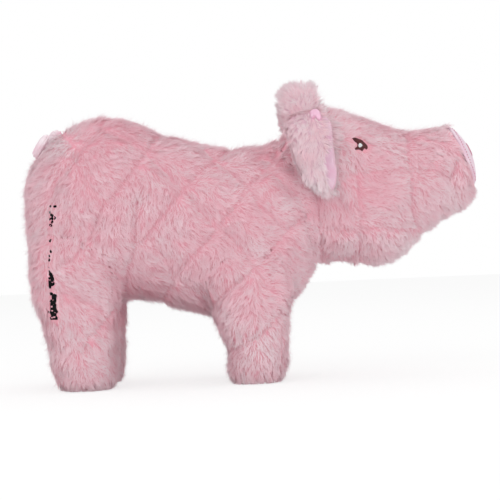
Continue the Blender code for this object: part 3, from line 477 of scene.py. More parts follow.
def skin_finish(name, deep, pale):
    """The knitted backing and short underfur below the pile."""
    made = Finish(name, 0.95)
    fine = made.noise(1900.0, 2.0, 0.7)
    colour = made.ramp(made.noise(140.0, 2.0), (0.3, deep), (0.7, pale))
    share = made.maths("MULTIPLY", fine, 0.6)
    made.surface(Base_Color=made.mix(share, colour, darker(deep, 0.82)))
    made.bump(fine, 0.0005, 0.8)
    return made.material


def satin_finish(name, base, glow, shade):
    """Woven satin: fine threads, soft streaks and a silky gloss, with painted sheen and painted
    shade laid in random patches over its colour and painted sheen along the streaks.
    """
    made = Finish(name, 0.42)
    place = made.node("ShaderNodeTexCoord").outputs["Object"]
    stretched = made.node("ShaderNodeMapping", Vector=place, Scale=(1.0, 0.5, 0.22)).outputs[0]
    streaks = made.noise(520.0, 3.0, 0.6, stretched)
    # patches of painted shade and painted sheen over the base colour; below, painted sheen along
    # the streaks
    body = made.ramp(made.noise(90.0, 2.0, 0.5, place), (0.32, shade), (0.5, base), (0.68, glow))
    rough = made.maths("ADD", made.maths("MULTIPLY", streaks, 0.25), 0.32)
    made.surface(Base_Color=made.mix(made.maths("MULTIPLY", streaks, 0.5), body, glow),
                 Roughness=rough)
    made.bump(made.noise(2600.0, 1.0, 0.5, stretched), 0.0002, 0.5)
    made.sheen(0.3, 0.4, (1.0, 0.92, 0.97))
    return made.material


def thread_finish(name, base, light, roughness=0.5, gloss=0.5):
    """Close stitches of embroidery thread."""
    made = Finish(name, roughness)
    fine = made.noise(4200.0, 2.0, 0.6)
    colour = made.ramp(made.noise(900.0, 2.0, 0.5), (0.35, base), (0.7, light))
    share = made.maths("MULTIPLY", fine, 0.5)
    made.surface(Base_Color=made.mix(share, colour, darker(base, 0.6)),
                 Specular_IOR_Level=gloss)
    made.bump(fine, 0.0001, 0.6)
    return made.material


def plain_finish(name, base, roughness, scale):
    """A hidden piece's cloth or plastic, with a little grain."""
    made = Finish(name, roughness)
    grain = made.noise(scale, 3.0, 0.6)
    rough = made.maths("ADD", made.maths("MULTIPLY", grain, 0.2), roughness - 0.1)
    made.surface(Base_Color=made.ramp(grain, (0.3, darker(base, 0.88)), (0.7, base)),
                 Roughness=rough)
    made.bump(grain, 0.0002, 0.4)
    return made.material


# pile colours: deep and pale roots, then deep, middle and pale tips; the rosier roots are painted
# shade deep in the pile, the paler tips painted sheen
PLUSH = pile_finish("plush_pile", (0.95, 0.45, 0.54), (0.95, 0.60, 0.67),
                    (0.95, 0.53, 0.61), (0.95, 0.68, 0.74), (0.95, 0.85, 0.88))
EAR_PLUSH = pile_finish("ear_plush_pile", (0.95, 0.50, 0.58), (0.95, 0.68, 0.74),
                        (0.95, 0.60, 0.67), (0.95, 0.75, 0.80), (0.95, 0.90, 0.92))
SKIN = skin_finish("plush_backing", (0.93, 0.41, 0.50), (0.94, 0.52, 0.60))
EAR_SKIN = skin_finish("ear_plush_backing", (0.88, 0.54, 0.66), (0.92, 0.66, 0.76))
# satins: base colour, then a painted sheen colour and a painted shade colour
EAR_SATIN = satin_finish("ear_satin", (0.80, 0.52, 0.66), (0.90, 0.66, 0.77),
                         (0.78, 0.42, 0.58))
FOLD_SATIN = satin_finish("ear_fold_satin", (0.84, 0.46, 0.63), (0.90, 0.62, 0.75),
                          (0.80, 0.34, 0.52))
PAD_SATIN = satin_finish("pad_satin", (0.80, 0.55, 0.67), (0.86, 0.70, 0.78),
                         (0.80, 0.48, 0.60))
TAIL_SATIN = satin_finish("tail_satin", (0.86, 0.62, 0.70), (0.90, 0.80, 0.84),
                          (0.90, 0.40, 0.56))
EYE_THREAD = thread_finish("eye_thread", (0.060, 0.002, 0.004), (0.13, 0.010, 0.014))
WHITE_THREAD = thread_finish("white_thread", (0.80, 0.84, 0.86), (0.92, 0.93, 0.94))
NOSE_THREAD = thread_finish("nose_thread", (0.62, 0.16, 0.28), (0.80, 0.30, 0.42))
TAPE_CLOTH = thread_finish("black_tape", (0.006, 0.006, 0.007), (0.014, 0.014, 0.015), 0.9, 0.1)


# ---------------------------------------------------------------- the quilted skin

COVERS = ("trunk", "head", "right_hind_leg", "left_hind_leg", "right_front_leg", "left_front_leg")
FILLINGS = {name: (name + "_wadding",) for name in COVERS}
FILLINGS["trunk"] = ("trunk_wadding_rear", "trunk_wadding_front")


def owners_of(points):
    """Which CAD cover each point is nearest to."""
    corners, faces, owners = [], [], []
    for index, name in enumerate(COVERS):
        node = frame["nodes"][name + "_cover"].data
        faces += (triangle_array(node) + len(corners)).tolist()
        corners += corner_array(node).tolist()
        owners += [index] * (len(faces) - len(owners))
    tree = BVHTree.FromPolygons(corners, faces)
    return np.array([owners[tree.find_nearest(Vector(point))[2]] for point in points])


def cad_quilting(points, owners):
    """How far the CAD covers' own straight seams draw the cloth in at points."""
    depth = np.zeros(len(points))
    flat = points[:, [0, 2]]
    for name, ((low_x, low_z, size_x, size_z), seams) in CAD_QUILTS.items():
        low, size = np.array([low_x, low_z]), np.array([size_x, size_z])
        deepest = np.zeros(len(points))
        for seam in seams:
            start, end = low + size * seam[:2], low + size * seam[2:]
            length = np.linalg.norm(end - start)
            ahead = (end - start) / length
            along = (flat - start) @ ahead
            aside = np.abs((flat - start) @ np.array([-ahead[1], ahead[0]]))
            share = np.minimum(1 - aside / QUILT_REACH,
                               np.minimum(along, length - along) / QUILT_FADE)
            deepest = np.maximum(deepest, QUILT_DEPTH * share)
        depth = np.where(owners == COVERS.index(name), deepest, depth)
    return depth


def seam_pieces(tree):
    """Both ends of every short straight piece of the quilting seams, and how deep."""
    starts, ends, depths = [], [], []
    for depth, line in SEAMS:
        pixels = [line[0]]
        for start, end in zip(line, line[1:]):
            steps = max(int(math.dist(start, end) / SEAM_STEP), 1)
            pixels += [(start[0] + (end[0] - start[0]) * step / steps,
                        start[1] + (end[1] - start[1]) * step / steps)
                       for step in range(1, steps + 1)]
        spots = [spot_at(tree, *pixel)[[0, 2]] for pixel in pixels]
        starts += spots[:-1]
        ends += spots[1:]
        depths += [depth] * (len(spots) - 1)
    return np.array(starts), np.array(ends), depths


def seam_reach(points):
    """How far points are from the nearest seam, seen from the side, and its depth."""
    flat = points[:, [0, 2]]
    nearest = np.full(len(flat), 1.0)
    depth = np.ones(len(flat))
    for start, end, strength in zip(*SEAM_PIECES):
        run = end - start
        share = np.clip((flat - start) @ run / max(run @ run, 1e-12), 0, 1)
        gap = np.linalg.norm(flat - start - share[:, None] * run, axis=1)
        depth = np.where(gap < nearest, strength, depth)
        nearest = np.minimum(nearest, gap)
    return nearest, depth


def plain_skin():
    """The whole skin as one mesh, with the CAD covers' own seams filled in."""
    nodes = [name + "_cover" for name in COVERS]
    nodes += [filling for name in COVERS for filling in FILLINGS[name]]
    mesh = relaxed(remeshed("skin", nodes, SKIN_VOXEL), SMOOTHINGS)
    corners, normals = corner_array(mesh), normal_array(mesh)
    lift = QUILT_LEFT * cad_quilting(corners, owners_of(corners))
    pixels = pixels_at(corners * (1, 0, 1))
    for px, py, reach, amount in SWELLINGS:
        lift += amount * np.exp(-((pixels - (px, py)) ** 2).sum(1) / reach ** 2)
    corners = corners + normals * lift[:, None]
    low = 1 - smoothstep(corners[:, 2], 0.020, 0.095)
    corners[:, 0] += HIND_SHIFT * low * (1 - smoothstep(corners[:, 0], -0.085, -0.050))
    set_corners(mesh, corners)
    return relaxed(mesh, 3)


def quilt(mesh):
    """Puff the cells between the photograph's seams and draw the seams in."""
    corners, normals = corner_array(mesh), normal_array(mesh)
    gap, depth = seam_reach(corners)
    lift = CELL_PUFF * (1 - np.exp(-(gap / CELL_REACH) ** 2)) - SKIN_SINK
    level = smoothstep(np.abs(normals[:, 1]), 0.15, 0.55)
    lift -= SEAM_DEPTH * depth * level * np.exp(-(gap / SEAM_REACH) ** 2)
    lift += 0.0004 * Waves(0.014).at(corners)
    corners = corners + normals * lift[:, None]
    corners[:, 2] = np.maximum(corners[:, 2], LOWEST_SKIN)
    set_corners(mesh, corners)


def split_skin(mesh, owners):
    """A closed piece of the skin for every cover, with what it covers inside it."""
    for index, name in enumerate(COVERS):
        work = bmesh.new()
        work.from_mesh(mesh)
        work.faces.ensure_lookup_table()
        lost = [work.faces[int(i)] for i in np.flatnonzero(owners != index)]
        bmesh.ops.delete(work, geom=lost, context="FACES")
        rim = [edge for edge in work.edges if edge.is_boundary]
        bmesh.ops.holes_fill(work, edges=rim, sides=0)
        bmesh.ops.triangulate(work, faces=[f for f in work.faces if len(f.verts) > 4])
        piece = bpy.data.meshes.new(name + "_skin")
        work.to_mesh(piece)
        work.free()
        dress(outward(piece), "root", SKIN, (name + "_cover", *FILLINGS[name]))


# ---------------------------------------------------------------- pile

# half width and height of a lock of pile at its root, middle and near its tip
LOCK_WIDTHS = (0.00015, 0.00020, 0.00012)
LOCK_HEIGHTS = (0.00006, 0.00007, 0.00004)
STRAND_TRIANGLES = 16
MOST_TRIANGLES = 196000
BARE_SHARES = (1.0, 0.8, 0.6, 0.45, 0.3, 0.15)
# how far a lock's shading may turn from its own faces, as a cosine
LEAST_FACING = 0.5


def sample_faces(corners, normals, triangles, per_area):
    """Points spread evenly at random over triangles, with smooth normals."""
    a, b, c = (corners[triangles[:, k]] for k in range(3))
    areas = np.linalg.norm(np.cross(b - a, c - a), axis=1) / 2
    count = int(areas.sum() * per_area)
    chosen = rng.choice(len(triangles), count, p=areas / areas.sum())
    u, v = rng.random((2, count))
    over = u + v > 1
    u[over], v[over] = 1 - u[over], 1 - v[over]
    shares = np.stack([1 - u - v, u, v], 1)
    spots = sum(shares[:, k:k + 1] * corners[triangles[chosen, k]] for k in range(3))
    facing = sum(shares[:, k:k + 1] * normals[triangles[chosen, k]] for k in range(3))
    return spots, unit(facing), chosen


def clump_of(spots, spacing, area_per_spot):
    """Each point's clump, named by the point in its middle."""
    count = max(int(len(spots) * area_per_spot / spacing ** 2), 1)
    tree = KDTree(count)
    for index in range(count):
        tree.insert(spots[index], index)
    tree.balance()
    return np.array([tree.find(spot)[1] for spot in spots])


def strand_lines(spots, normals, ways, lengths, lifts, clumps, pull, crimp):
    """Four points along each strand, from its root to its tip."""
    reach = lengths[:, None]
    lift = lifts[:, None]
    tips = spots + reach * (normals * np.sin(lift) + ways * np.cos(lift))
    own = spots[clumps] + (spots - spots[clumps]) * 0.25
    shared = own + (tips - spots)[clumps]
    tips = tips + (shared - tips) * pull[:, None]
    bend = spots + reach * (normals * 0.24 + ways * 0.28) + (tips - spots) * 0.12
    side = np.cross(normals, ways) * (crimp * lengths)[:, None]
    lines = []
    for t, sway in ((0.0, 0.0), (0.36, 1.0), (0.72, -0.8), (1.0, 0.4)):
        point = (1 - t) ** 2 * spots + 2 * t * (1 - t) * bend + t * t * tips
        lines.append(point + side * sway)
    lines[0] = lines[0] - normals * 0.0006
    return np.stack(lines, 1)


def pile_mesh(name, lines, tints, thickness, facing):
    """A mesh of closed flat locks, with their tint and height in its map.

    The locks shade like the cloth that they grow from, as dense plush does, and their
    undersides take light from where they point. No shade turns far from its own face.
    """
    count = len(lines)
    rings = []
    for level, (width, height) in enumerate(zip(LOCK_WIDTHS, LOCK_HEIGHTS)):
        ahead = unit(lines[:, level + 1] - lines[:, max(level - 1, 0)])
        side = unit(np.cross(ahead, facing))
        over = np.cross(side, ahead)
        for aside, above in ((width, 0.0), (-width, 0.0), (0.0, height)):
            out = side * aside + over * above
            rings.append(lines[:, level] + out * thickness[:, None])
    rings.append(lines[:, 3])
    quads = [(low + k, low + (k + 1) % 3, low + 3 + (k + 1) % 3, low + 3 + k)
             for low in (0, 3) for k in range(3)]
    loops = [0, 2, 1] + [i for quad in quads for i in quad]
    loops += [i for k in range(3) for i in (6 + k, 6 + (k + 1) % 3, 9)]
    sizes = [3] + [4] * 6 + [3] * 3
    loops = np.array(loops)
    offsets = np.arange(count)[:, None]
    mesh = bpy.data.meshes.new(name)
    mesh.vertices.add(count * 10)
    corners = np.stack(rings, 1).reshape(-1, 3)
    mesh.vertices.foreach_set("co", corners.astype(np.float32).ravel())
    mesh.loops.add(count * len(loops))
    mesh.loops.foreach_set("vertex_index", (offsets * 10 + loops).astype(np.int32).ravel())
    mesh.polygons.add(count * len(sizes))
    starts = np.cumsum([0] + sizes[:-1])
    mesh.polygons.foreach_set(
        "loop_start", (offsets * len(loops) + starts).astype(np.int32).ravel())
    mesh.polygons.foreach_set("use_smooth", np.ones(count * len(sizes), bool))
    mesh.update(calc_edges=True)
    heights = np.array([0.02] * 3 + [0.36] * 3 + [0.72] * 3 + [0.98])[loops]
    nudges = np.array([-0.03, 0.03, 0.0] * 3 + [0.0])[loops]
    across = np.clip(tints[:, None] * 0.94 + 0.03 + nudges, 0.0, 1.0)
    layer = mesh.uv_layers.new(name="OFBake")
    places = np.stack([across, np.broadcast_to(heights, across.shape)], 2)
    layer.uv.foreach_set("vector", places.astype(np.float32).ravel())
    flat = rows_of(mesh.polygon_normals, "vector").reshape(count, len(sizes), 3).astype(float)
    under = np.array([False] + [True, False, False] * 3)[None, :, None]
    shade = np.where(under, unit(lines[:, 3] - lines[:, 0])[:, None], facing[:, None])
    along = (shade * flat).sum(2, keepdims=True)
    aside = unit(shade - flat * along) * math.sqrt(1 - LEAST_FACING ** 2)
    shade = np.where(along < LEAST_FACING, aside + flat * LEAST_FACING, shade)
    shade = np.repeat(shade, sizes, axis=1)
    mesh.normals_split_custom_set(shade.reshape(-1, 3).astype(np.float32))
    return mesh


def add_pile(name, body, material, lines, tints, thickness, facing):
    """Strands as pieces of at most a set number of triangles each, from tail to snout."""
    parts = math.ceil(len(lines) * STRAND_TRIANGLES / MOST_TRIANGLES)
    order = np.argsort(lines[:, 0, 0])
    for part, chosen in enumerate(np.array_split(order, parts)):
        title = f"{name}_{part + 1}" if parts > 1 else name
        mesh = pile_mesh(title, lines[chosen], tints[chosen], thickness[chosen], facing[chosen])
        dress(mesh, body, material)


def tangent(ways, normals):
    return unit(ways - normals * (ways * normals).sum(1, keepdims=True))


def turned_ways(ways, normals, angles):
    """Directions along a surface, turned about its normals."""
    side = np.cross(normals, ways)
    return ways * np.cos(angles)[:, None] + side * np.sin(angles)[:, None]


def inside(places, outline):
    """Which places lie inside a closed outline."""
    start = np.array(outline, float)
    run = np.roll(start, -1, axis=0) - start
    run[run[:, 1] == 0, 1] = 1e-9
    away = places[:, None] - start
    share = away[..., 1] / run[:, 1]
    crossed = (share >= 0) & (share < 1) & (away[..., 0] < run[:, 0] * share)
    return crossed.sum(1) % 2 == 1


def cut(lines, left):
    root = lines[:, :1]
    return root + (lines - root) * left[:, None, None]


def cut_clear(lines, near, shares, blocked):
    """How much is left of each strand, of the near ones only what isn't blocked."""
    left = np.ones(len(lines))
    for share in shares:
        steps = cut(lines[near], np.full(len(near), share))
        between = (steps[:, 1:] + steps[:, :-1]) / 2
        hit = blocked(np.concatenate([steps, between], 1)).any(1)
        left[near[~hit]] = share
        near = near[hit]
    left[near] = 0.0
    return left


def clear_of(lines, outline):
    """How much of each strand is left where a place in the photograph stays bare."""
    corners, roots = np.array(outline), near_pixels(lines[:, 0])
    room = PILE_LENGTH * 1.4 / PIXEL
    near = np.flatnonzero(((roots > corners.min(0) - room)
                           & (roots < corners.max(0) + room)).all(1))

    def blocked(points):
        return inside(near_pixels(points).reshape(-1, 2), outline).reshape(points.shape[:2])

    return cut_clear(lines, near, BARE_SHARES, blocked)


def clear_of_windows(lines):
    """How much of each strand is left where the tape stays bare in the photograph."""
    roots = pixels_at(lines[:, 0])
    near = np.flatnonzero((lines[:, 0, 1] < 0) & (roots[:, 0] < 75) & (roots[:, 1] > 190))
    return cut_clear(lines, near, WINDOW_SHARES,
                     lambda points: window_gaps(pixels_at(points)) < 0)


def window_gaps(pixels):
    """How far pixels are from the nearest bare place of the tape; below zero inside it."""
    gaps = np.full(pixels.shape[:-1], 100.0)
    for x0, y0, x1, y1, reach in TAPE_WINDOWS:
        start, run = np.array([x0, y0]), np.array([x1 - x0, y1 - y0])
        part = np.clip((pixels - start) @ run / max(run @ run, 1e-9), 0, 1)
        gap = np.linalg.norm(pixels - start - part[..., None] * run, axis=-1)
        gaps = np.minimum(gaps, gap - reach)
    return gaps


def clearance(tree, point):
    """How far a point is outside a closed piece."""
    place, normal, _, distance = tree.find_nearest(Vector(point))
    return distance if (Vector(point) - place).dot(normal) > 0 else -distance


def shortened(lines, mesh, gap):
    """How much is left of strands that end where they come nearer to a piece than a gap."""
    tree, corners, reach = tree_of(mesh), corner_array(mesh), PILE_LENGTH * 1.3
    low, high = corners.min(0) - reach, corners.max(0) + reach
    left = np.ones(len(lines))
    for index in np.flatnonzero(((lines[:, 0] > low) & (lines[:, 0] < high)).all(1)):
        root = lines[index, 0]
        left[index] = 0.0
        for share in BARE_SHARES[:5]:
            if all(clearance(tree, root + (point - root) * share) > gap
                   for point in lines[index, 1:]):
                left[index] = share
                break
    return left


def up_to_seams(lines, gap):
    """How much of each strand is left where it would lie across a seam."""
    left = np.ones(len(lines))
    near = np.flatnonzero((gap > SEAM_CLEAR) & (gap < PILE_LENGTH))
    for share in (1.0, 0.85, 0.7, 0.55, 0.4):
        points = lines[near, 0] + (lines[near, 3] - lines[near, 0]) * share
        crossed = seam_reach(points)[0] < SEAM_CLEAR
        left[near[crossed]] = share
    return left


BODY_DENSITY = 1.25e6
# where the pile stands up more, as pixels: middle, reach, degrees
LIFTED = ((95, 119, 14, 22), (55, 133, 10, 14), (438, 126, 6, 20), (474, 190, 10, 18))
# loose strands: share of all, lift and its spread in degrees, thickness, how much paler
WISPS = ((0.30, 28, 8, 0.6, 0.05), (0.10, 52, 12, 0.55, 0.30))
# share of the strands that end at a seam instead of lying across it
SEAM_SHARE = 0.65
SEAM_CLEAR = 0.0005
PILE_LENGTH = 0.0072
CLUMP_SPACING = 0.0022
# tint spots, as pixels: middle, reach, how much paler; a spot below nought is rosier, and the
# rosy spots at the crease between haunch and belly (125, 290) and between the near and far legs
# (122, 318) are painted shade
PALE_AND_SHADED_SPOTS = ((60, 143, 14, 0.75), (445, 190, 24, 0.15), (262, 350, 32, 0.15),
              (85, 360, 40, 0.08), (35, 240, 14, 0.12), (215, 160, 22, 0.10),
              (335, 125, 22, 0.18), (440, 130, 10, 0.15), (100, 150, 40, -0.06),
              (205, 225, 40, -0.08), (300, 180, 24, -0.15), (430, 148, 16, -0.12),
              (125, 290, 12, -0.25), (122, 318, 8, -0.30), (318, 205, 14, -0.25),
              (75, 210, 18, -0.08), (410, 100, 60, 0.10), (60, 230, 16, 0.10),
              (262, 345, 26, 0.30), (85, 355, 30, 0.12), (400, 235, 26, 0.30),
              (370, 195, 26, -0.22))
# nodes that the body's pile keeps clear of, and how far
BARE_NODES = (
    (("snout_pad",), -0.0002), (("tail",), 0.0002),
    (("right_ear_back", "right_ear_lining"), -0.0008),
    (("left_ear_back", "left_ear_lining"), -0.0008),
)
WINDOW_SHARES = (1.0, 0.9, 0.8, 0.7, 0.6, 0.5, 0.4, 0.3, 0.2)
# bare places of the tape, as pixels: from, to, half width
TAPE_WINDOWS = (
    (50.4, 206.3, 50.8, 206.3, 0.7), (54.4, 206.4, 56.2, 206.3, 0.8),
    (49.6, 212, 50.2, 213, 0.6), (51.2, 215, 52.6, 216, 0.9), (54.2, 217.5, 55, 218.5, 0.9),
    (50.6, 219.2, 52.6, 218.8, 1.3), (51.8, 221.5, 52.4, 222.6, 0.9), (50.3, 225, 51, 225.6, 0.9),
    (50, 241, 50.6, 240.2, 0.8), (50.4, 251, 50.9, 252, 0.7), (49.4, 255.5, 49.4, 256.5, 0.7),
    (49.2, 259.5, 49.4, 260.6, 0.9), (47.9, 266.8, 48.6, 267.6, 0.6),
    (49.2, 271, 52.8, 276.4, 0.7), (49.6, 274, 53.6, 279.5, 0.8),
    (50.2, 280, 51.8, 283.4, 2.6), (49.4, 285.4, 50, 287, 1.4), (56.4, 283.4, 56.7, 283.6, 0.5),
    (51, 293.8, 55.5, 295.8, 1.3), (54.0, 296.5, 54.6, 300.5, 2.1), (52.6, 302, 53.2, 304.8, 2.5),
    (53.4, 306, 53.6, 312, 2.9), (47.2, 311.6, 50, 312.6, 0.6), (54, 312.4, 57.6, 311.8, 0.9),
    (52.8, 312, 54.4, 317, 2.5), (51.6, 318.2, 56.6, 318.6, 1.5),
)


def body_ways(spots, normals):
    """Which way the pile lies, between the places that the photograph was read at."""
    pixels = near_pixels(spots)
    total = np.zeros((len(spots), 2))
    for row in np.array(FLOW, float):
        away = ((pixels - row[:2]) ** 2).sum(1)
        total += unit(row[2:]) / (away + FLOW_REACH ** 2)[:, None] ** 2
    total = unit(total)
    return tangent(total[:, :1] * RIGHTWARD - total[:, 1:] * UPWARD + 1e-3, normals)


def body_tints(spots, gap):
    tints = 0.52 + 0.09 * Waves(0.030).at(spots) + 0.07 * Waves(0.012).at(spots)
    # strands next to a seam are tinted rosier: painted shade in the seam's groove
    tints -= 0.25 * np.exp(-(gap / 0.0016) ** 2)
    pixels = pixels_at(spots)
    # paler spots, and rosy spots of painted shade in the haunch crease and between the legs
    for px, py, reach, paler in PALE_AND_SHADED_SPOTS:
        away = ((pixels - (px, py)) ** 2).sum(1) / reach ** 2
        tints += paler * np.exp(-away)
    return tints


def make_body_pile(mesh, owners):
    """The pile on the trunk, head and legs."""
    corners, normals = corner_array(mesh), normal_array(mesh)
    triangles = triangle_array(mesh)
    polygons = np.empty(len(triangles), np.int32)
    mesh.loop_triangles.foreach_get("polygon_index", polygons)
    spots, facing, chosen = sample_faces(corners, normals, triangles, BODY_DENSITY)
    kept = spots[:, 2] > LOWEST_ROOT
    spots, facing, chosen = spots[kept], facing[kept], chosen[kept]
    owner = owners[polygons[chosen]]
    gap, _ = seam_reach(spots)
    ways = body_ways(spots, facing)
    clumps = clump_of(spots, CLUMP_SPACING, 1 / BODY_DENSITY)
    angle = 0.28 * Waves(0.020).at(spots) + 0.22 * Waves(0.008).at(spots)
    loose = rng.normal(size=len(spots))
    angle += 0.22 * loose[clumps] + 0.20 * rng.normal(size=len(spots))
    ways = turned_ways(ways, facing, angle)
    lengths = PILE_LENGTH * (0.70 + 0.30 * smoothstep(gap, 0.0004, 0.004))
    lengths *= rng.uniform(0.75, 1.12, len(spots)) * rng.uniform(0.85, 1.1, len(spots))[clumps]
    lifts = np.radians(rng.normal(11, 3, len(spots)) + rng.normal(0, 2, len(spots))[clumps])
    lifts += math.radians(26) * smoothstep(-facing[:, 2], 0.25, 0.85)
    widest = smoothstep(np.abs(spots[:, 1]), 0.050, 0.053)
    for px, py, around, more in LIFTED:
        away = ((near_pixels(spots) - (px, py)) ** 2).sum(1) / around ** 2
        lifts += math.radians(more) * np.exp(-away)
    thickness = rng.uniform(0.8, 1.25, len(spots))
    tints = body_tints(spots, gap) + 0.08 * loose[clumps] + 0.07 * rng.normal(size=len(spots))
    kinds = rng.random(len(spots))
    for share, lift, spread, thin, paler in WISPS:
        chosen = kinds < share
        lifts[chosen] = np.radians(rng.normal(lift, spread, chosen.sum()))
        thickness[chosen] = thin
        tints[chosen] += paler
    lifts = np.minimum(lifts, math.radians(85) - math.radians(60) * widest)
    pull = np.clip(rng.normal(0.15, 0.15, len(spots)), 0, 0.9)
    crimp = rng.normal(0, 0.05, len(spots))
    lines = strand_lines(spots, facing, ways, lengths, lifts, clumps, pull, crimp)
    lines[:, :, 2] = np.maximum(lines[:, :, 2], LOWEST_PILE)
    left = np.ones(len(spots))
    for names, room in BARE_NODES:
        left = np.minimum(left, shortened(lines, joined_nodes(names), room))
    for outline in (EYE_OUTLINE, PAD_OUTLINE):
        left = np.minimum(left, clear_of(lines, outline))
    across = (np.abs(facing[:, 1]) > 0.35) & (rng.random(len(spots)) < SEAM_SHARE)
    left = np.minimum(left, np.where(across, up_to_seams(lines, gap), 1.0))
    left = np.minimum(left, clear_of_windows(lines))
    lines = cut(lines, left)
    kept = left > 0.0
    for index, name in enumerate(COVERS):
        mine = kept & (owner == index)
        add_pile(name + "_pile", "root", PLUSH, lines[mine], np.clip(tints[mine], 0, 1),
                 thickness[mine], facing[mine])
    print("strands on the body:", int(kept.sum()))


# ---------------------------------------------------------------- eyes and nostrils

EYE_CENTRE = (360.5, 145.5)
EYE_OUTLINE = (
    (351.2, 138.6), (353.2, 137.9), (355.2, 137.9), (357.6, 139.0), (359.8, 139.6),
    (361.8, 140.6), (363.6, 142.4), (365.6, 144.3), (367.2, 146.2), (367.8, 148.0),
    (367.2, 149.8), (366.2, 150.4), (365.2, 149.4), (364.3, 148.9), (363.4, 150.2),
    (362.2, 151.9), (361.2, 151.5), (360.2, 150.4), (358.4, 149.8), (356.8, 149.9),
    (354.9, 149.9), (354.3, 148.9), (355.6, 147.8), (357.0, 146.8), (357.2, 145.2),
    (356.6, 143.6), (354.8, 142.6), (353.4, 141.2), (352.2, 139.8),
)
LIGHT_CENTRE = (359.4, 146.2)
LIGHT_OUTLINE = ((357.6, 146.2), (358.2, 144.8), (359.3, 143.9), (360.4, 144.4), (361.4, 145.4),
                 (362.3, 146.6), (361.2, 147.6), (360.0, 148.2), (358.8, 148.4), (357.9, 147.4))
EYE_THICKNESS = 0.0016
EYE_ROOTS = 0.0016
STITCH = 0.00050
# a place that the ray misses is looked for from this far inward
BESIDE = 0.040
PATCH_RINGS, PATCH_AROUND = 30, 168


def photo_places(tree, pixels):
    """Pixels of the photograph as places on the near side, along and up."""
    return np.array([spot_at(tree, *pixel)[[0, 2]] for pixel in pixels])


def closed_outline(places, count):
    """An even outline of many points through a few."""
    places = np.vstack([places, places[:1]])
    steps = np.linalg.norm(np.diff(places, axis=0), axis=1)
    at = np.concatenate([[0], np.cumsum(steps)])
    wanted = np.arange(count) / count * at[-1]
    return np.stack([np.interp(wanted, at, places[:, k]) for k in range(2)], 1)


def embroidery(name, middle, outline, side, tree, depth, thickness, stitch_way, ripple):
    """A closed patch of stitches sewn into a surface, seen from one side of the pig."""
    facing = Vector((0, side, 0))
    across = np.array([-stitch_way[1], stitch_way[0]])
    shares = [0.0] + [ring / PATCH_RINGS for ring in range(1, PATCH_RINGS + 1)
                      for _ in outline]
    flats = [middle + (spot - middle) * share
             for spot, share in zip([middle, *np.tile(outline, (PATCH_RINGS, 1))], shares)]
    corners = []
    for upper in (True, False):
        for flat, share in zip(flats, shares):
            above = Vector((flat[0], side * 0.08, flat[1]))
            ground, normal = tree.ray_cast(above, -facing)[:2]
            if ground is None:
                ground, normal = tree.find_nearest(above - facing * BESIDE)[:2]
            crest = thickness * (1 - share ** 8) ** 0.5
            crest += ripple * math.sin(math.tau * float((flat - middle) @ across) / STITCH)
            corners.append(ground + normal * (crest if upper else -depth))
    return patch_mesh(name, corners, len(outline))


def patch_mesh(name, corners, around):
    """A closed patch over its upper and lower rings, each about a middle."""
    half, last = len(corners) // 2, 1 + (PATCH_RINGS - 1) * around
    faces = []
    for base in (0, half):
        faces += fan_faces(base, base + 1, around)
        faces += ring_faces(around, PATCH_RINGS - 1, base + 1)
    for k in range(around):
        a, b = last + k, last + (k + 1) % around
        faces.append((a, half + a, half + b, b))
    return outward(mesh_from(name, corners, faces))


def make_eyes(tree):
    patches = (
        ("eye", EYE_CENTRE, closed_outline(EYE_PLACES, PATCH_AROUND), EYE_ROOTS,
         EYE_THICKNESS, 0.00010, "eye_thread", EYE_THREAD),
        ("eye_light", LIGHT_CENTRE, closed_outline(LIGHT_PLACES, PATCH_AROUND // 2), 0.0,
         EYE_THICKNESS + 0.0005, 0.00006, "white_thread", WHITE_THREAD))
    for word, side in (("right", -1), ("left", 1)):
        for kind, centre, outline, depth, thickness, ripple, slot, finish in patches:
            title = f"{word}_{kind}"
            mesh = embroidery(title + "_stitches", spot_at(tree, *centre)[[0, 2]], outline,
                              side, tree, depth, thickness, EYE_SLANT, ripple)
            dress(mesh, "root", finish, (title,))


EYE_SLANT = (0.35, 0.94)


# ---------------------------------------------------------------- ears

EAR_HINGES = {"right": (0.042556, -0.027896, 0.183766), "left": (0.042556, 0.027896, 0.183766)}
EAR_VOXEL = 0.0009
EAR_SINK = 0.0013
EAR_TOP_PUFF = 0.0015
EAR_DENSITY = 2.3e6
EAR_PILE = 0.0056
EAR_TIP_PILE = 0.0026
EAR_REACH = 0.058
# above this height an ear's front edge has pile too
FLAP_LOWEST, FLAP_HIGHEST = 0.163, 0.196
# the loop of lining at the right ear's fold, as pixels
FOLD_CENTRE = (315.8, 115.0)
FOLD_OUTLINE = ((310.0, 114.0), (311.6, 111.8), (315.0, 110.6), (318.6, 111.2), (320.8, 114.0),
                (321.4, 118.0), (320.2, 121.0), (317.8, 120.4), (315.6, 117.4), (313.8, 118.0),
                (312.0, 119.6), (310.4, 117.6))
# the standing left ear leans forward by this share of its height, and its top is round:
# middle and half sizes, as pixels, and where its crest is raised, how wide and how much
EAR_LEAN = 0.17
EAR_ROUND = (298.0, 106.0, 17.5, 26.0)
EAR_CREST = (293.0, 9.0, 5.0)
LINING_VOXEL = 0.00045


def posed(word, corners):
    """An ear's points, leaned and rounded as the photograph shows the left one."""
    if word == "right":
        return corners
    high = np.maximum(corners[:, 2] - EAR_HINGES[word][2], 0)
    corners = corners + RIGHTWARD * (EAR_LEAN * high)[:, None]
    away = (pixels_at(corners) - EAR_ROUND[:2]) / EAR_ROUND[2:]
    reach = np.linalg.norm(away, axis=1)
    share = np.where((away[:, 1] < 0) & (reach > 1), 0.8 * (1 / reach - 1), 0.0)
    moved = away * share[:, None] * EAR_ROUND[2:] * PIXEL
    crest = np.exp(-((pixels_at(corners)[:, 0] - EAR_CREST[0]) / EAR_CREST[1]) ** 2)
    moved[:, 1] -= EAR_CREST[2] * PIXEL * crest * smoothstep(high, 0.012, 0.024)
    return corners + moved[:, :1] * RIGHTWARD - moved[:, 1:] * UPWARD


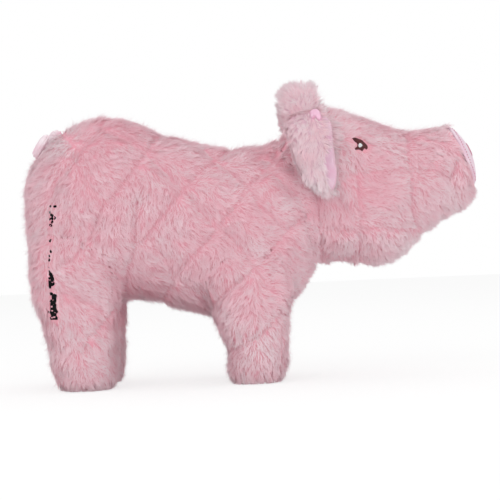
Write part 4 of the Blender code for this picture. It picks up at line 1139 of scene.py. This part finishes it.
def make_ear(word):
    """An ear's plush cloth with its pile, and its satin lining."""
    body, hinge = word + "_ear", np.array(EAR_HINGES[word])
    tree = tree_of(joined_nodes([body + "_lining"]))
    cloth = relaxed(remeshed(body + "_cloth", [body + "_back"], EAR_VOXEL), 5)
    corners, normals = corner_array(cloth), normal_array(cloth)
    away = np.array([tree.find_nearest(Vector(corner))[3] for corner in corners])
    outer = smoothstep(away, 0.0010, 0.0026)
    top = smoothstep(corners[:, 2], 0.193, 0.207) * smoothstep(normals[:, 2], 0.1, 0.7)
    corners = corners + normals * (outer * (EAR_TOP_PUFF * top - EAR_SINK * (1 - top)))[:, None]
    corners += normals * (0.0003 * outer * Waves(0.009).at(corners))[:, None]
    set_corners(cloth, posed(word, corners))
    make_ear_pile(word, cloth, outer, hinge)
    cloth.shade_smooth()
    dress(cloth, body, EAR_SKIN, (body + "_back",))
    make_lining(word, body)
    if word == "right":
        make_fold(tree_of(cloth), body)


def make_fold(tree, body):
    """The small loop of lining that shows at the top of the hanging ear."""
    outline = closed_outline(photo_places(tree, FOLD_OUTLINE), PATCH_AROUND)
    mesh = embroidery(body + "_fold", spot_at(tree, *FOLD_CENTRE)[[0, 2]], outline, -1, tree,
                      0.0006, 0.0022, (0.6, 0.8), 0.0)
    corners = corner_array(mesh)
    set_corners(mesh, corners + 0.00025 * Waves(0.004).at(corners)[:, None] * SIDEWAYS)
    dress(mesh, body, FOLD_SATIN)


def make_ear_pile(word, cloth, outer, hinge):
    corners, normals = corner_array(cloth), normal_array(cloth)
    triangles = triangle_array(cloth)
    share = outer[triangles].min(1)
    centre = corners[triangles].mean(1)
    flap = (normals[triangles].mean(1)[:, 0] > 0.2) & (centre[:, 2] > FLAP_LOWEST)
    triangles = triangles[(share > 0.85) | ((share > 0.25) & flap)]
    spots, facing, _ = sample_faces(corners, normals, triangles, EAR_DENSITY)
    away = spots - hinge
    ways = unit(away * np.array([1.7, 1.0, 1.0]))
    front = smoothstep(away[:, 0], 0.004, 0.012) * smoothstep(spots[:, 2], 0.158, 0.164)
    ways[:, 0] += 1.6 * front
    ways = tangent(ways, facing)
    clumps = clump_of(spots, 0.0026, 1 / EAR_DENSITY)
    loose = rng.normal(size=len(spots))
    angle = 0.25 * Waves(0.014).at(spots) + 0.22 * loose[clumps]
    ways = turned_ways(ways, facing, angle + 0.2 * rng.normal(size=len(spots)))
    far = smoothstep(np.linalg.norm(away, axis=1), 0.030, EAR_REACH)
    lengths = (EAR_PILE + EAR_TIP_PILE * far) * rng.uniform(0.75, 1.1, len(spots))
    top = smoothstep(spots[:, 2], 0.193, 0.207) * smoothstep(facing[:, 2], 0.1, 0.7)
    lengths = lengths * (1 + 0.35 * top) * (1 + 0.6 * front)
    lifts = np.radians(rng.normal(12, 3, len(spots)) + 28 * top
                       + rng.normal(0, 2, len(spots))[clumps])
    thickness = rng.uniform(0.75, 1.2, len(spots))
    wisps = rng.random(len(spots)) < 0.3
    lifts[wisps] += math.radians(18)
    fringe = (facing[:, 0] > 0.3) & (spots[:, 2] > FLAP_LOWEST) & (spots[:, 2] < FLAP_HIGHEST)
    lifts[fringe] += math.radians(34)
    lengths[fringe] *= 1.15
    thickness[wisps] *= 0.6
    pull = np.clip(rng.normal(0.2, 0.15, len(spots)), 0, 0.9)
    lines = strand_lines(spots, facing, ways, lengths, lifts, clumps, pull,
                         rng.normal(0, 0.05, len(spots)))
    tints = 0.50 + 0.10 * Waves(0.018).at(spots) + 0.30 * far
    tints += 0.22 * smoothstep(spots[:, 2] - hinge[2], -0.004, 0.012)
    tints += 0.20 * fringe + 0.08 * loose[clumps] + 0.07 * rng.normal(size=len(spots))
    if word == "right":
        left = clear_of(lines, FOLD_OUTLINE)
        lines = cut(lines, left)
        kept = left > 0.0
        lines, tints, thickness, facing = (part[kept] for part in
                                           (lines, tints, thickness, facing))
    add_pile(word + "_ear_pile", word + "_ear", EAR_PLUSH, lines,
             np.clip(tints, 0, 1), thickness, facing)


def make_lining(word, body):
    """The satin inside an ear, with soft wrinkles."""
    mesh = relaxed(remeshed(body + "_satin", [body + "_lining"], LINING_VOXEL), 4)
    corners = corner_array(mesh)
    wrinkles = np.stack([Waves(0.009).at(corners) for _ in range(3)], 1)
    creases = np.stack([Waves(0.0045).at(corners) for _ in range(3)], 1)
    set_corners(mesh, posed(word, corners + 0.00016 * wrinkles + 0.00007 * creases))
    mesh.shade_smooth()
    piece = dress(mesh, body, EAR_SATIN, (body + "_lining",))


# ---------------------------------------------------------------- snout

PAD_MIDDLE = np.array([0.151795, 0.0, 0.155200])
PAD_TILT = math.radians(21.5)
PAD_FACING = np.array([math.cos(PAD_TILT), 0.0, math.sin(PAD_TILT)])
PAD_UP = np.array([-math.sin(PAD_TILT), 0.0, math.cos(PAD_TILT)])
PAD_HALF = (0.021825, 0.022620)
PAD_EDGE, PAD_CROWN = 0.0020, 0.0084
PAD_SEAM_SHARE = 0.93
PAD_AROUND, PAD_RINGS = 180, 44
# what the pad shows of itself at the side, as pixels
PAD_OUTLINE = ((448, 127.5), (453, 127), (470, 143), (480, 163), (479, 190), (475, 187),
               (473.4, 172), (470.4, 163), (466.4, 156), (463, 150), (460.4, 144.5),
               (456.4, 138), (452.5, 132.5))
NOSTRIL_HALF = (0.0031, 0.0053)
NOSTRIL_ASIDE, NOSTRIL_RISE = 0.0085, 0.002
PAD_FOOT = 0.0003
PAD_STITCHES = 64
THREAD_RADIUS = 0.00032
THREAD_STEPS, THREAD_AROUND = 540, 8


def pad_height(share, turn):
    """How high the pad stands over the snout's cut end."""
    height = PAD_EDGE + (PAD_CROWN - PAD_EDGE) * (1 - share ** 2.1)
    stitch = 0.65 + 0.35 * math.cos(PAD_STITCHES * turn)
    height -= 0.0008 * stitch * math.exp(-((share - PAD_SEAM_SHARE) / 0.030) ** 2)
    fade = math.exp(-((share - 0.88) / 0.13) ** 2)
    pucker = math.sin(23 * turn + 2.0 * math.sin(3 * turn)) + 0.6 * math.sin(41 * turn + 1.0)
    return height + 0.00018 * pucker * fade


def pad_spot(aside, rise, height):
    """A place over the snout's cut end."""
    return PAD_MIDDLE + PAD_FACING * height + SIDEWAYS * aside + PAD_UP * rise


def make_pad():
    """The satin disc on the snout, gathered a little by the stitches at its edge."""
    corners = [pad_spot(0, 0, PAD_FOOT)]
    levels = [(0.5, 0.0), (0.92, 0.0), (1.0, 0.0), (1.012, 0.45), (1.0, 0.85)]
    levels += [(1 - part / PAD_RINGS, 1.0) for part in range(1, PAD_RINGS)]
    for share, level in levels:
        for step in range(PAD_AROUND):
            turn = math.tau * step / PAD_AROUND
            reach = share * (1 + 0.006 * math.sin(32 * turn) * level)
            corners.append(pad_spot(PAD_HALF[0] * reach * math.cos(turn),
                                    PAD_HALF[1] * reach * math.sin(turn),
                                    PAD_FOOT + level * pad_height(min(share, 1.0), turn)))
    corners.append(pad_spot(0, 0, PAD_FOOT + PAD_CROWN))
    rows = len(levels) - 1
    faces = fan_faces(0, 1, PAD_AROUND) + ring_faces(PAD_AROUND, rows, 1)
    faces += fan_faces(len(corners) - 1, 1 + rows * PAD_AROUND, PAD_AROUND)
    mesh = outward(mesh_from("snout_pad_satin", corners, faces))
    dress(mesh, "root", PAD_SATIN, ("snout_pad",))
    return mesh


def make_pad_seam():
    """A rosy thread sewn round the pad's edge."""
    corners = []
    for step in range(THREAD_STEPS):
        turn = math.tau * step / THREAD_STEPS
        stitch = 0.5 + 0.5 * math.cos(PAD_STITCHES * turn)
        height = PAD_FOOT + pad_height(PAD_SEAM_SHARE, turn) + 0.00025 - 0.0006 * stitch
        ray = SIDEWAYS * PAD_HALF[0] * math.cos(turn) + PAD_UP * PAD_HALF[1] * math.sin(turn)
        middle = PAD_MIDDLE + ray * PAD_SEAM_SHARE + PAD_FACING * height
        for part in range(THREAD_AROUND):
            angle = math.tau * part / THREAD_AROUND
            corners.append(middle + THREAD_RADIUS * (unit(ray) * math.cos(angle)
                                                     + PAD_FACING * math.sin(angle)))
    faces = np.array(ring_faces(THREAD_AROUND, THREAD_STEPS)) % len(corners)
    mesh = outward(mesh_from("snout_pad_seam", corners, faces))
    dress(mesh, "root", NOSE_THREAD)


def make_nostrils(pad):
    """Two sewn nostrils on the pad."""
    tree = tree_of(pad)
    places = [(0, 0)] + [(ring / PATCH_RINGS, math.tau * step / PATCH_AROUND)
                         for ring in range(1, PATCH_RINGS + 1) for step in range(PATCH_AROUND)]
    for word, side in (("right", -1), ("left", 1)):
        corners = []
        for upper in (True, False):
            for share, turn in places:
                aside = NOSTRIL_HALF[0] * share * math.cos(turn)
                rise = NOSTRIL_HALF[1] * share * math.sin(turn)
                spot = pad_spot(side * NOSTRIL_ASIDE + aside, NOSTRIL_RISE + rise, 0.02)
                ground, normal = tree.ray_cast(Vector(spot), Vector(-PAD_FACING))[:2]
                crest = 0.0004 * (1 - share ** 8) ** 0.5
                crest += 0.00008 * math.sin(math.tau * rise / STITCH)
                corners.append(ground + normal * (crest if upper else 0.0001))
        mesh = patch_mesh(word + "_nostril_stitches", corners, PATCH_AROUND)
        dress(mesh, "root", NOSE_THREAD, (word + "_nostril",))


# ---------------------------------------------------------------- tail

TAIL_ABOVE = (-0.161805 + 0.074 * 0.210, -0.004, 0.339)
TAIL_RADIUS, TAIL_TIP_RADIUS = 0.0042, 0.0028
TAIL_LOOP = (0.0205, 0.015)
TAIL_STEM, TAIL_RISE = 0.0012, 0.0036
TAIL_TURN = math.radians(300)
# how far the sewn tail sinks toward the rump and forward
TAIL_SHIFT = (0.0030, 0.0, -0.0004)
TAIL_GAP = 0.0003
TAIL_STEPS = 22
TAIL_RINGS, TAIL_AROUND = 220, 56
# along the tail: where the gathers pinch it, how wide and how much
TAIL_PINCHES = ((0.02, 0.05, 0.30), (0.27, 0.05, 0.42), (0.60, 0.05, 0.40),
                (0.98, 0.06, 0.30))


def rest_on(tree, above, down, reach):
    """The point under another one that lies just a reach away from a surface."""
    ground = tree.ray_cast(above, down)[0]
    lift = reach
    for _ in range(6):
        lift += reach - tree.find_nearest(ground - down * lift)[3]
    return ground - down * lift


def tail_path():
    """The line that the CAD tail follows over the rump, and its radius."""
    tree = tree_of(joined_nodes(["trunk_cover", "head_cover"]))
    ground, normal = tree.ray_cast(Vector(TAIL_ABOVE), Vector((0, 0, -1)))[:2]
    down = Vector((-normal.z, 0, normal.x)).normalized()
    aside = down.cross(normal)
    path, radii = [], []
    for step in range(TAIL_STEPS + 1):
        share = step / TAIL_STEPS
        turn = TAIL_TURN * share
        spot = (ground - down * TAIL_LOOP[0] / 2 * math.cos(turn)
                + aside * TAIL_LOOP[1] / 2 * math.sin(turn))
        stem = TAIL_STEM * min(1, share / 0.25)
        rise = TAIL_RISE * (max(0, share - 0.4) / 0.6) ** 2
        path.append(np.array(rest_on(tree, spot + normal * 0.01, -normal,
                                     TAIL_RADIUS + TAIL_GAP + stem + rise)))
        radii.append(TAIL_RADIUS + (TAIL_TIP_RADIUS - TAIL_RADIUS) * share ** 2)
    path = np.array(path) + np.array(TAIL_SHIFT)
    return path, np.array(radii), np.array(normal)


def make_tail():
    """The curled tube of gathered satin."""
    path, radii, normal = tail_path()
    at = np.linspace(0, 1, len(path))
    shares = np.linspace(0, 1, TAIL_RINGS)
    middles = smooth_line(path, at, shares)
    sizes = np.interp(shares, at, radii)
    ahead = unit(np.gradient(middles, axis=0))
    side = unit(np.cross(ahead, normal))
    over = np.cross(side, ahead)
    turns = np.linspace(0, math.tau, TAIL_AROUND, endpoint=False)
    corners = []
    for index, share in enumerate(shares):
        pinch = sum(much * math.exp(-((share - where) / wide) ** 2)
                    for where, wide, much in TAIL_PINCHES)
        end = min(1.0, (min(share, 1 - share) / 0.045 + 0.12)) ** 0.5
        for turn in turns:
            gather = math.sin(9 * turn + 1.3 * math.sin(9 * share)) * (0.035 + 0.25 * pinch)
            gather += 0.018 * math.sin(17 * turn + 30 * share)
            gather += 0.022 * math.sin(55 * share + 2.2 * math.sin(2 * turn))
            reach = sizes[index] * end * (1 + gather) * (1 - 0.55 * pinch)
            corners.append(middles[index] + reach * (side[index] * math.cos(turn)
                                                     + over[index] * math.sin(turn)))
    faces = ring_faces(TAIL_AROUND, TAIL_RINGS - 1)
    for ring, place in ((0, middles[0] - ahead[0] * 0.0006),
                        (TAIL_RINGS - 1, middles[-1] + ahead[-1] * 0.0006)):
        faces += fan_faces(len(corners), ring * TAIL_AROUND, TAIL_AROUND)
        corners.append(place)
    mesh = outward(mesh_from("tail_tube", corners, faces))
    dress(mesh, "tail", TAIL_SATIN, ("tail",))


def smooth_line(path, at, shares):
    """Points along a smooth line through a path."""
    fine = np.stack([np.interp(shares, at, path[:, k]) for k in range(3)], 1)
    width = len(shares) // len(path)
    kernel = np.hanning(2 * width + 1)
    kernel /= kernel.sum()
    padded = np.concatenate([2 * fine[:1] - fine[width:0:-1], fine,
                             2 * fine[-1:] - fine[-2:-width - 2:-1]])
    return np.stack([np.convolve(padded[:, k], kernel, "valid") for k in range(3)], 1)


# ---------------------------------------------------------------- tape

# the tape's left and right edge, top and bottom, as pixels
TAPE_EDGES = (48.4, 57.8, 205.0, 319.8)
TAPE_ABOVE, TAPE_BELOW = 0.00010, 0.0008
TAPE_ROWS, TAPE_COLUMNS = 300, 28
# the plush closes over the tape between its bare places
TAPE_SUNK = 0.0005
WEAVE = 0.0009


def make_tape(tree):
    """The woven tape over the closing seam, laid on the quilted cloth."""
    left, right, top, bottom = TAPE_EDGES
    sheets = []
    for row in np.linspace(0, 1, TAPE_ROWS):
        for column in np.linspace(0, 1, TAPE_COLUMNS):
            place = spot_at(tree, left + (right - left) * column, top + (bottom - top) * row)
            sheets.append((place, tree.find_nearest(Vector(place))[1]))
    ground = np.array([place for place, _ in sheets])
    normals = np.array([normal for _, normal in sheets])
    weave = np.sin(math.tau * ground[:, 2] / WEAVE) * np.sin(math.tau * ground[:, 0] / WEAVE)
    fray = Waves(0.0030).at(ground)
    ground += RIGHTWARD * (0.00022 * fray)[:, None]
    covered = smoothstep(window_gaps(pixels_at(ground)), 0.3, 0.8)
    above = TAPE_ABOVE + 0.00005 * weave - TAPE_SUNK * covered
    upper = ground + normals * above[:, None]
    lower = ground - normals * TAPE_BELOW
    count, last = TAPE_ROWS * TAPE_COLUMNS, TAPE_COLUMNS - 1
    faces = []
    for row in range(TAPE_ROWS - 1):
        for a in range(row * TAPE_COLUMNS, row * TAPE_COLUMNS + last):
            quad = (a, a + TAPE_COLUMNS, a + TAPE_COLUMNS + 1, a + 1)
            faces += [quad, [count + k for k in quad[::-1]]]
    starts = range(0, count, TAPE_COLUMNS)
    edge = [*range(last), *(start + last for start in starts[:-1])]
    edge += [*range(count - 1, count - 1 - last, -1), *starts[:0:-1]]
    faces += [(a, b, count + b, count + a) for a, b in zip(edge, edge[1:] + edge[:1])]
    mesh = outward(mesh_from("tape_cloth", np.vstack([upper, lower]), faces))
    dress(mesh, "root", TAPE_CLOTH, ("seam_tape",))


# ---------------------------------------------------------------- what is hidden inside

HIDDEN = (
    ("squeaker_pouch", (0.74, 0.74, 0.72), 0.90, 1500.0),
    ("squeaker_bulb", (0.84, 0.84, 0.81), 0.45, 300.0),
    ("squeaker_whistle", (0.78, 0.78, 0.76), 0.40, 500.0),
    ("squeaker_reed", (0.80, 0.80, 0.78), 0.35, 900.0),
)


def finish_hidden():
    """Materials of the CAD nodes that stay as they are."""
    for name, base, roughness, scale in HIDDEN:
        data = frame["nodes"][name].data
        made = plain_finish(name + "_finish", base, roughness, scale)
        data.materials.clear()
        data.materials.append(made)


# ---------------------------------------------------------------- the whole pig

skin = plain_skin()
plain_tree = tree_of(skin)
SEAM_PIECES = seam_pieces(plain_tree)
EYE_PLACES = photo_places(plain_tree, EYE_OUTLINE)
LIGHT_PLACES = photo_places(plain_tree, LIGHT_OUTLINE)
quilt(skin)
quilted_tree = tree_of(skin)
skin_owners = owners_of(np.array([face.center for face in skin.polygons]))
make_body_pile(skin, skin_owners)
split_skin(skin, skin_owners)
make_eyes(tree_of(joined_nodes(["head_cover"])))
for ear in ("right", "left"):
    make_ear(ear)
snout_pad = make_pad()
make_pad_seam()
make_nostrils(snout_pad)
make_tail()
make_tape(quilted_tree)
finish_hidden()

# ---------------------------------------------------------------- camera, floor and light

FLOOR_BOUNCE = 0.95
FLOOR_SEEN = 0.30
FLOOR_GLOW = 0.74


def make_camera():
    data = bpy.data.cameras.new("camera")
    data.sensor_width = SENSOR_WIDTH
    data.lens = SENSOR_WIDTH * CAMERA_DISTANCE / VIEW_WIDTH
    data.clip_end = 20.0
    camera = new_object("camera", data)
    camera.matrix_world = Matrix.Translation(EYE_POINT) @ Matrix(
        (RIGHTWARD, UPWARD, -FORWARD)).transposed().to_4x4()
    bpy.context.scene.camera = camera


def make_floor():
    """A plain sheet that keeps the pig's shadow and looks white."""
    size = 3.0
    mesh = mesh_from("floor", [(-size, -size, 0), (size, -size, 0), (size, size, 0),
                               (-size, size, 0)], [(0, 1, 2, 3)])
    made = Finish("floor_paper", 0.9)
    seen = made.looked_at()
    made.surface(Specular_IOR_Level=0.0,
                 Base_Color=made.mix(seen, (FLOOR_BOUNCE,) * 3, (FLOOR_SEEN,) * 3))
    glow = made.node("ShaderNodeEmission", Color=(1, 1, 1),
                     Strength=made.maths("MULTIPLY", seen, FLOOR_GLOW))
    both = made.blend(made.node("ShaderNodeAddShader"), 0, (0, 1),
                      (made.shader.outputs[0], glow.outputs[0]))
    made.set(made.nodes["Material Output"], Surface=both)
    mesh.materials.append(made.material)
    new_object("floor", mesh)


def make_world():
    """Soft light from all round, and white where the camera sees past the floor."""
    world = bpy.data.worlds.new("studio")
    bpy.context.scene.world = world
    made = Graph(world)
    made.set(made.nodes["Background"], Color=(1, 1, 1), Strength=WORLD_LEVEL)
    white = made.node("ShaderNodeBackground", Color=(1, 1, 1), Strength=1.0)
    both = made.blend(made.node("ShaderNodeMixShader"), 0, (0, 1, 2), (
        made.looked_at(), made.nodes["Background"].outputs[0], white.outputs[0]))
    made.set(made.nodes["World Output"], Surface=both)


WORLD_LEVEL = 0.70
# name, place, size, power in watts
LAMPS = (
    ("key_lamp", (-0.7, -1.3, 1.2), 1.4, 5.0),
    ("fill_lamp", (0.5, -1.5, 0.10), 1.0, 8.0),
    ("top_lamp", (0.1, 0.3, 1.5), 1.4, 2.5),
)


def make_lamps():
    aim = Vector((0, 0, 0.1))
    for name, place, size, power in LAMPS:
        data = bpy.data.lights.new(name, "AREA")
        data.shape = "SQUARE"
        data.size = size
        data.energy = power
        lamp = new_object(name, data)
        lamp.location = place
        lamp.rotation_euler = (aim - Vector(place)).to_track_quat("-Z", "Y").to_euler()


make_camera()
make_floor()
make_world()
make_lamps()
bpy.context.scene.view_settings.view_transform = "Standard"
